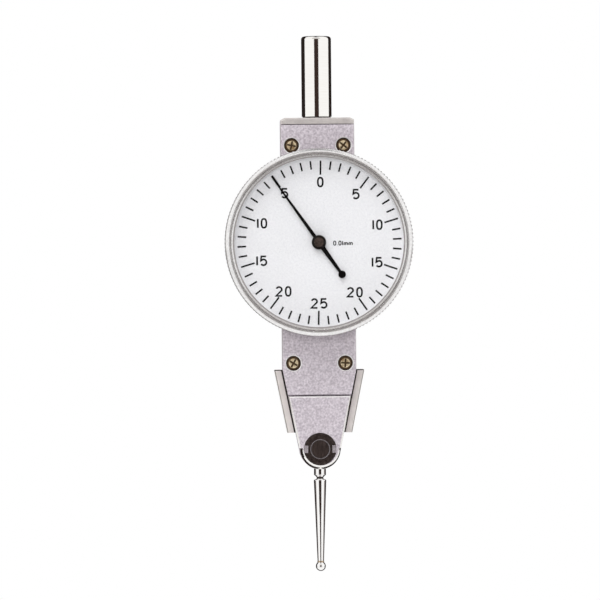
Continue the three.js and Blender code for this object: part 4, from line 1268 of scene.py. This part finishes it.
def graduations_tree():
    """Bars round the dial, every so many of them longer, all ending at the same outer radius."""
    takes = {
        "Count": 50,
        "Start": 0.0,
        "Long Every": 5,
        "Outer": 0.016,
        "Short": 0.0016,
        "Long": 0.0027,
        "Width": 0.0003,
        "Ink": 0.00002,
        "Centre": "Vector",
        "Finish": "Material",
    }
    tree, given, out = geometry_group("graduations", takes)

    def of(operation, first, second=0.0):
        return worked(tree, operation, first, second)

    number = add_node(tree, "GeometryNodeInputIndex").outputs[0]
    angle = of("ADD", of("DIVIDE", of("MULTIPLY", number, 2 * math.pi), given["Count"]), given["Start"])
    is_short = of("MINIMUM", of("MODULO", number, given["Long Every"]), 1.0)
    extra = of("MULTIPLY", of("SUBTRACT", given["Long"], given["Short"]), of("SUBTRACT", 1.0, is_short))
    length = of("ADD", given["Short"], extra)
    middle = of("SUBTRACT", given["Outer"], of("DIVIDE", length, 2.0))
    across, up = of("MULTIPLY", middle, of("SINE", angle)), of("MULTIPLY", middle, of("COSINE", angle))
    spot = add_node(tree, "ShaderNodeCombineXYZ", {"X": across, "Z": up}).outputs[0]
    points = add_node(tree, "GeometryNodePoints", {"Count": given["Count"], "Position": spot}).outputs[0]
    bar = add_node(tree, "GeometryNodeMeshCube", {"Size": (1, 1, 1)}).outputs[0]
    turn = add_node(tree, "ShaderNodeCombineXYZ", {"Y": angle}).outputs[0]
    sizes = {"X": given["Width"], "Y": given["Ink"], "Z": length}
    size = add_node(tree, "ShaderNodeCombineXYZ", sizes).outputs[0]
    bars = real_copies(tree, on_points(tree, points, bar, Rotation=turn, Scale=size))
    inputs = {"Geometry": bars, "Translation": given["Centre"]}
    placed = add_node(tree, "GeometryNodeTransform", inputs).outputs[0]
    tree.links.new(painted(tree, placed, given["Finish"]), out["Geometry"])
    return tree


dial_radius, dial_front = dial_high.x, dial_low.y
dial_rounding = 0.04 * MM
dial_profile = stepped((dial_radius, dial_front, dial_high.y), bore=dial_hole_radius)
dial_enamel = grained_finish("dial_enamel", (233, 233, 236), (243, 243, 245), 0.25, 0.002)
dial = turned_piece("dial_disc", dial_profile, dial_enamel, dial_rounding, z=dial_z, steps=144)
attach(dial, "bezel")
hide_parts("dial_plate")

black_ink = ink_finish("black_ink", (13, 12, 13), (22, 21, 22))
ink_depth = 0.03 * MM
print_turn = math.radians(1.2)
print_x, print_z = 0.15 * MM, dial_z - 0.1 * MM
graduations = grown(points_piece("graduations", [(0, 0, 0)], [0]), graduations_tree(), {
    "Count": 50,
    "Start": print_turn,
    "Long Every": 5,
    "Outer": 16.25 * MM,
    "Short": 1.7 * MM,
    "Long": 2.8 * MM,
    "Width": 0.33 * MM,
    "Ink": ink_depth,
    "Centre": (print_x, dial_front - ink_depth / 2, print_z),
    "Finish": black_ink,
})
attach(graduations, "bezel")

# Printed numbers. Each figure is drawn as the middle line of its stroke in a box one high, as the
# engraver's template has it, and inked at an even width.
number_radius = 12 * MM
number_style = {"height": 1.74 * MM, "stroke": 0.35 * MM, "gap": 0.72 * MM}
value_style = {"height": 0.79 * MM, "stroke": 0.19 * MM, "gap": 0.3 * MM}
value_x, value_z = print_x + 4.62 * MM, print_z - 0.1 * MM


def squared_oval(half_width, steps=28):
    """A loop one high, between an ellipse and a box."""
    fullness = 0.8
    loop = []
    for step in range(steps):
        angle = 2 * math.pi * step / steps
        parts = (math.sin(angle), math.cos(angle))
        across, up = [math.copysign(abs(part) ** fullness, part) for part in parts]
        loop.append((half_width * across, 0.5 * up))
    return loop


def template_of(figure):
    """The middle lines of a figure, and whether they are closed loops; sizes are shares of its height."""
    right = math.pi / 2
    if figure == "0":
        return [squared_oval(0.28)], True
    if figure == "2":
        top_radius, foot_half = 0.28, 0.34
        bowl = arc(0, 0.22, top_radius, 1.8 * right, -0.25 * right, 16)
        wider = 0.9 * foot_half / top_radius
        return [[*[(wider * x, z) for x, z in bowl], (-foot_half, -0.5), (foot_half, -0.5)]], False
    if figure == "5":
        bowl = arc(0, -0.17, 0.33, 1.45 * right, -1.6 * right, 18)
        return [[(0.3, 0.5), (-0.24, 0.5), (-0.3, 0.02), *bowl[2:]]], False
    if figure == "m":
        arch_radius, arch_z, leg = 0.2, -0.1, 0.42
        lines = [[(-leg, 0.1), (-leg, -0.5)]]
        for middle, end in ((-0.22, -0.02), (0.22, leg)):
            lines.append([*arc(middle, arch_z, arch_radius, 2 * right, 0, 10), (end, -0.5)])
        return lines, False
    if figure == ".":
        return [[(0, -0.5), (0, -0.4)]], False
    return [[(0, 0.5), (0, -0.5)]], False


def ink_stroke(shape, line, closed, width):
    """A flat inked band along a line of (x, z) points, as thick as the ink."""
    count = len(line)
    rows = []
    for index, (x, z) in enumerate(line):
        before = Vector(line[index - 1] if index or closed else line[index])
        after = Vector(line[(index + 1) % count] if index < count - 1 or closed else line[index])
        here = Vector((x, z))
        into, out = here - before, after - here
        into = into.normalized() if into.length else out.normalized()
        out = out.normalized() if out.length else into
        along = (into + out).normalized()
        side = Vector((-along.y, along.x)) * width / 2 / max(0.5, along.dot(out))
        rows.append([
            shape.verts.new((corner.x, level, corner.y))
            for corner in (here + side, here - side)
            for level in (dial_front - ink_depth, dial_front)
        ])
    for index in range(count if closed else count - 1):
        near, far = rows[index], rows[(index + 1) % count]
        for one, two in ((0, 2), (2, 3), (3, 1), (1, 0)):
            shape.faces.new((near[one], near[two], far[two], far[one]))
    if not closed:
        for row in (rows[0], rows[-1]):
            shape.faces.new((row[0], row[1], row[3], row[2]))


figure_widths = {"0": 0.56, "1": 0.0, "2": 0.68, "5": 0.62, ".": 0.0, "m": 0.84}


def print_text(shape, text, x, z, height, stroke, gap):
    """Figures in a row, centred on (x, z), with an even gap between their middle lines' edges."""
    total = sum(figure_widths[figure] for figure in text) * height + gap * (len(text) - 1)
    pen = x - total / 2
    for figure in text:
        width = figure_widths[figure] * height
        middle = pen + width / 2
        lines, closed = template_of(figure)
        for line in lines:
            placed = [(middle + height * share_x, z + height * share_z) for share_x, share_z in line]
            ink_stroke(shape, placed, closed, stroke)
        pen += width + gap


printing = bmesh.new()
values = ["0", "5", "10", "15", "20", "25", "20", "15", "10", "5"]
for index, value in enumerate(values):
    angle = print_turn + 2 * math.pi * index / len(values)
    across, rise = number_radius * math.sin(angle), number_radius * math.cos(angle)
    print_text(printing, value, print_x + across, print_z + rise, **number_style)
print_text(printing, "0.01mm", value_x, value_z, **value_style)
numbers = finished(new_piece("dial_numbers", printing), black_ink)
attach(numbers, "bezel")

# Pointer. A thin pressed hand in matt black with a disc on its tail to balance it, held on the centre
# arbor by a turned cap of dark bronze.
pointer_low, pointer_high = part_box("pointer")
rest_angle = math.radians(-35.3)
pointer_reach, tail_reach = 16.1 * MM, 7.84 * MM
eye_radius, disc_radius = 1.25 * MM, 0.75 * MM
tip_half, root_half, tail_half, tail_end_half = 0.12 * MM, 0.36 * MM, 0.47 * MM, 0.29 * MM
hand_edge = 0.03 * MM
up = math.pi / 2
root_angle, tail_angle = math.asin(root_half / eye_radius), math.asin(tail_half / eye_radius)
disc_angle = math.asin(tail_end_half / disc_radius)
hand_outline = [
    (-tip_half, pointer_reach),
    (tip_half, pointer_reach),
    *arc(0, 0, eye_radius, up - root_angle, -up + tail_angle, 20),
    *arc(0, -tail_reach, disc_radius, up - disc_angle, -3 * up + disc_angle, 28),
    *arc(0, 0, eye_radius, -up - tail_angle, -3 * up + root_angle, 20),
]
rest_cos, rest_sin = math.cos(rest_angle), math.sin(rest_angle)
turned_hand = [(x * rest_cos + z * rest_sin, dial_z - x * rest_sin + z * rest_cos) for x, z in hand_outline]
hand = plate_shape("hand", turned_hand, pointer_low.y, pointer_high.y, (hand_edge, hand_edge), 1)
finished(hand, grained_finish("pointer_black", (5, 5, 5), (10, 9, 9), 0.2, 0.003, specular=0.06))
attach(hand, "pointer")
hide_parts("pointer")

cap_low, cap_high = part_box("pointer_hub")
cap_radius, cap_rim = cap_high.x, 0.5 * MM
cap_back, cap_neck = pointer_low.y - plate_seat, 0.7 * MM
cap_crown, cap_shoulder, cap_fall, cap_rounding = 0.02 * MM, 0.07 * MM, 0.3 * MM, 0.05 * MM
cap_profile = [
    (0, cap_low.y),
    (0.5 * cap_radius, cap_low.y + cap_crown),
    (cap_radius - cap_rim, cap_low.y + cap_shoulder),
    *sides((cap_radius, cap_low.y + cap_fall, cap_back), (cap_neck, cap_back, cap_high.y), (0, cap_high.y)),
]
hub_bronze = turned_finish(
    "hub_bronze", (38, 30, 26), (74, 62, 56), 0.1, 0.5, 0.07 * MM, 0.35 * MM, 0.004 * MM, specular=0.15
)
cap = turned_piece("hand_cap", cap_profile, hub_bronze, cap_rounding, z=dial_z, steps=64)
# The cap's sloping rim is painted near-black as shade.
cap_rim_shade_black = ink_finish("cap_rim", (12, 9, 8), (24, 18, 16))
finish_faces(cap, cap_rim_shade_black, lambda spot, normal: from_centre(spot) > cap_radius - cap_rim)
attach(cap, "pointer")
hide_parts("pointer_hub")

# Crystal. A flat acrylic window with a polished chamfer, pressed into the bezel's front, with a thin grey
# ring that covers its chamfer and fills the gap to the bezel's lip, painted grey as the shade in that gap.


def crystal_finish():
    material, tree, shader, place = new_finish("clear_crystal", 0.0, 0.0)
    wiped = use_group(tree, handling, place, Size=9 * MM)
    tree.links.new(between(tree, wiped["Mask"], 0.0, 0.03), shader.inputs["Roughness"])
    shader.inputs["Base Color"].default_value = (1, 1, 1, 1)
    shader.inputs["Transmission Weight"].default_value = 1
    shader.inputs["IOR"].default_value = 1.3
    clear = add_node(tree, "ShaderNodeBsdfTransparent").outputs[0]
    rays = add_node(tree, "ShaderNodeLightPath").outputs
    lighting = worked(tree, "ADD", rays["Is Shadow Ray"], rays["Is Diffuse Ray"], clamp=True)
    mixed = add_node(tree, "ShaderNodeMixShader", {0: lighting, 1: shader.outputs[0], 2: clear})
    tree.links.new(mixed.outputs[0], tree.nodes["Material Output"].inputs["Surface"])
    return material


crystal_gap, crystal_edge, gap_shade_clearance = 0.36 * MM, 0.08 * MM, 0.005 * MM
window_radius = crystal_radius - crystal_gap
crystal_profile = stepped(
    (window_radius - crystal_edge, crystal_low.y),
    (window_radius, crystal_low.y + crystal_edge, crystal_high.y),
)
window = turned_piece("window", crystal_profile, crystal_finish(), sharp_from=20, z=dial_z, steps=144)
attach(window, "bezel")
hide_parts("crystal")

gap_shade_profile = sides(
    (window_radius - crystal_edge + gap_shade_clearance, crystal_low.y),
    (lip_inner, crystal_low.y, crystal_high.y),
    (window_radius + gap_shade_clearance, crystal_high.y, crystal_low.y + crystal_edge),
)
# The grey of this ring is painted shade for the gap between the crystal and the bezel's lip.
gap_shade_grey = plated_finish("gap_shade_grey", (146, 141, 140), (164, 159, 158), 0.6, 0.0, 0.2, 0.004)
gap_shade_piece = turned_piece("crystal_seal", gap_shade_profile, gap_shade_grey, z=dial_z, steps=144)
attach(gap_shade_piece, "bezel")

# Studio. A wide white floor well below the indicator and a white surround, with soft lamps. Grey and dark
# sheets hang in front, above, beside and behind; the chrome reflects them as its streaks and edges.
object_low, object_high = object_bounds()
middle = Vector((0, 0, (object_low.z + object_high.z) / 2))
floor_radius, floor_drop = 3000 * MM, 400 * MM


def seen_directly(tree):
    """1 for rays from the camera, from reflections and through glass, and 0 for light on its way."""
    rays = add_node(tree, "ShaderNodeLightPath").outputs
    shiny = worked(tree, "ADD", rays["Is Camera Ray"], rays["Is Glossy Ray"])
    return worked(tree, "ADD", shiny, rays["Is Transmission Ray"], clamp=True)


def floor_finish():
    material, tree, shader, place = new_finish("floor_white", 0.0, 0.9)
    shader.inputs["Base Color"].default_value = linear(243, 243, 243)
    glow_share = 0.8
    share = worked(tree, "MULTIPLY", seen_directly(tree), glow_share)
    glow = add_node(tree, "ShaderNodeEmission", {"Color": (1, 1, 1, 1), "Strength": 1.0}).outputs[0]
    mixed = add_node(tree, "ShaderNodeMixShader", {0: share, 1: shader.outputs[0], 2: glow})
    tree.links.new(mixed.outputs[0], tree.nodes["Material Output"].inputs["Surface"])
    return material


floor_shape = bmesh.new()
bmesh.ops.create_circle(floor_shape, cap_ends=True, radius=floor_radius, segments=96)
floor = new_piece("floor", floor_shape)
floor.data.transform(Matrix.Translation((0, 0, object_low.z - floor_drop)))
floor.data.materials.append(floor_finish())


def towards(azimuth, elevation):
    """The direction of an azimuth, 0 at the camera's side and 90 at the right, and of an elevation."""
    turn, tilt = math.radians(azimuth), math.radians(elevation)
    return Vector((math.sin(turn) * math.cos(tilt), -math.cos(turn) * math.cos(tilt), math.sin(tilt)))


def hung_sheet(name, columns, shade):
    """A sheet through rows of points, seen in reflections and through the glass, that casts no shade."""
    shape = bmesh.new()
    made = [[shape.verts.new(point) for point in column] for column in columns]
    for left, right in zip(made, made[1:]):
        for rise in range(len(left) - 1):
            shape.faces.new((left[rise], right[rise], right[rise + 1], left[rise + 1]))
    flag = new_piece(name, shape)
    material = bpy.data.materials.new(name)
    material.use_nodes = True
    tree = material.node_tree
    tree.nodes.remove(tree.nodes["Principled BSDF"])
    glow = add_node(tree, "ShaderNodeEmission", {"Color": linear(*shade), "Strength": 1.0})
    tree.links.new(glow.outputs[0], tree.nodes["Material Output"].inputs["Surface"])
    flag.data.materials.append(material)
    flag.visible_camera = False
    flag.visible_diffuse = False
    flag.visible_shadow = False


near_black, dull_grey = (34, 28, 26), (137, 130, 128)
flag_distance = 900 * MM
flags = {
    "front_flag": ((-16.5, 16), (-14, 14), (56, 44, 40)),
    "upper_wing": ((-32, 32), (14, 36), (196, 191, 189)),
    "lower_wing": ((-32, 32), (-36, -14), (190, 184, 181)),
    "right_flag": ((106, 166), (-42, 42), near_black),
    "left_flag": ((-166, -99), (-42, 42), near_black),
    "right_low_flag": ((80, 106), (-10, -3.5), dull_grey),
    "left_low_flag": ((-106, -80), (-10, -3.5), dull_grey),
    "top_flag": ((-40, 40), (60, 124), (120, 116, 118)),
}
for name, (azimuths, elevations, shade) in flags.items():
    hung_sheet(name, [
        [middle + towards(azimuth, elevation) * flag_distance for elevation in spread(elevations, 8)]
        for azimuth in spread(azimuths, 12)
    ], shade)

card_y, card_half, card_heights = -150 * MM, 68 * MM, (-112 * MM, -84 * MM)
hung_sheet("stylus_flag", [
    [Vector((x, card_y, z)) for z in spread(card_heights, 2)] for x in spread((-card_half, card_half), 4)
], (52, 42, 38))


def from_behind(around, away):
    """A direction at one angle round the camera's line, and at another from it."""
    return Vector((math.sin(away) * math.sin(around), -math.cos(away), math.sin(away) * math.cos(around)))


zone_distance, zone_angles = 300 * MM, (math.radians(106), math.radians(150))
ball_centre = Vector((0, 0, ball_z))
hung_sheet("rear_zone", [
    [ball_centre + from_behind(around, away) * zone_distance for away in spread(zone_angles, 6)]
    for around in spread((0, 2 * math.pi), 48)
], (40, 34, 32))


def soft_lamp(name, azimuth, elevation, size, power):
    """A square lamp that looks at the middle of the indicator."""
    distance = 1300 * MM
    data = bpy.data.lights.new(name, "AREA")
    data.size = size
    data.energy = power
    lamp = bpy.data.objects.new(name, data)
    lamp.location = middle + towards(azimuth, elevation) * distance
    lamp.rotation_euler = towards(azimuth, elevation).to_track_quat("Z", "Y").to_euler()
    lamp.visible_glossy = False
    lamp.visible_camera = False
    bpy.context.scene.collection.objects.link(lamp)


soft_lamp("front_lamp", azimuth=-2, elevation=11, size=0.25, power=3.2)
soft_lamp("top_lamp", azimuth=-24, elevation=50, size=0.9, power=8.0)
soft_lamp("rear_lamp", azimuth=180, elevation=40, size=0.9, power=7.0)
soft_lamp("right_lamp", azimuth=90, elevation=10, size=0.8, power=4.0)
soft_lamp("left_lamp", azimuth=-90, elevation=10, size=0.8, power=4.0)

world = bpy.data.worlds.new("white_surround")
world.use_nodes = True
bpy.context.scene.world = world
tree = world.node_tree
ambient = tree.nodes["Background"]
ambient.inputs["Color"].default_value = (1, 1, 1, 1)
ambient.inputs["Strength"].default_value = 0.44
white = add_node(tree, "ShaderNodeBackground", {"Color": (1, 1, 1, 1), "Strength": 1.0})
parts = {0: seen_directly(tree), 1: ambient.outputs[0], 2: white.outputs[0]}
surround = add_node(tree, "ShaderNodeMixShader", parts)
tree.links.new(surround.outputs[0], tree.nodes["World Output"].inputs["Surface"])

# Camera. A long lens straight in front of the dial, a trace to its left, with the stem's top leaning a
# trace to the left in the frame.
picture_height = 119.48 * MM
camera_distance = 1200 * MM
aim = Vector((-3.657 * MM, 0, -52.45 * MM))
camera_azimuth, camera_roll = math.radians(-1.146), math.radians(-0.532)
camera_data = bpy.data.cameras.new("camera")
camera_data.sensor_width = 36
camera_data.lens = camera_data.sensor_width * camera_distance / picture_height
camera_data.clip_start, camera_data.clip_end = 0.05, 20
camera = bpy.data.objects.new("camera", camera_data)
bpy.context.scene.collection.objects.link(camera)
camera_side = Vector((math.sin(camera_azimuth), -math.cos(camera_azimuth), 0))
camera.location = aim + camera_side * camera_distance
looking = camera_side.to_track_quat("Z", "Y").to_matrix() @ Matrix.Rotation(camera_roll, 3, "Z")
camera.rotation_euler = looking.to_euler()
bpy.context.scene.camera = camera
bpy.context.scene.view_settings.view_transform = "Standard"
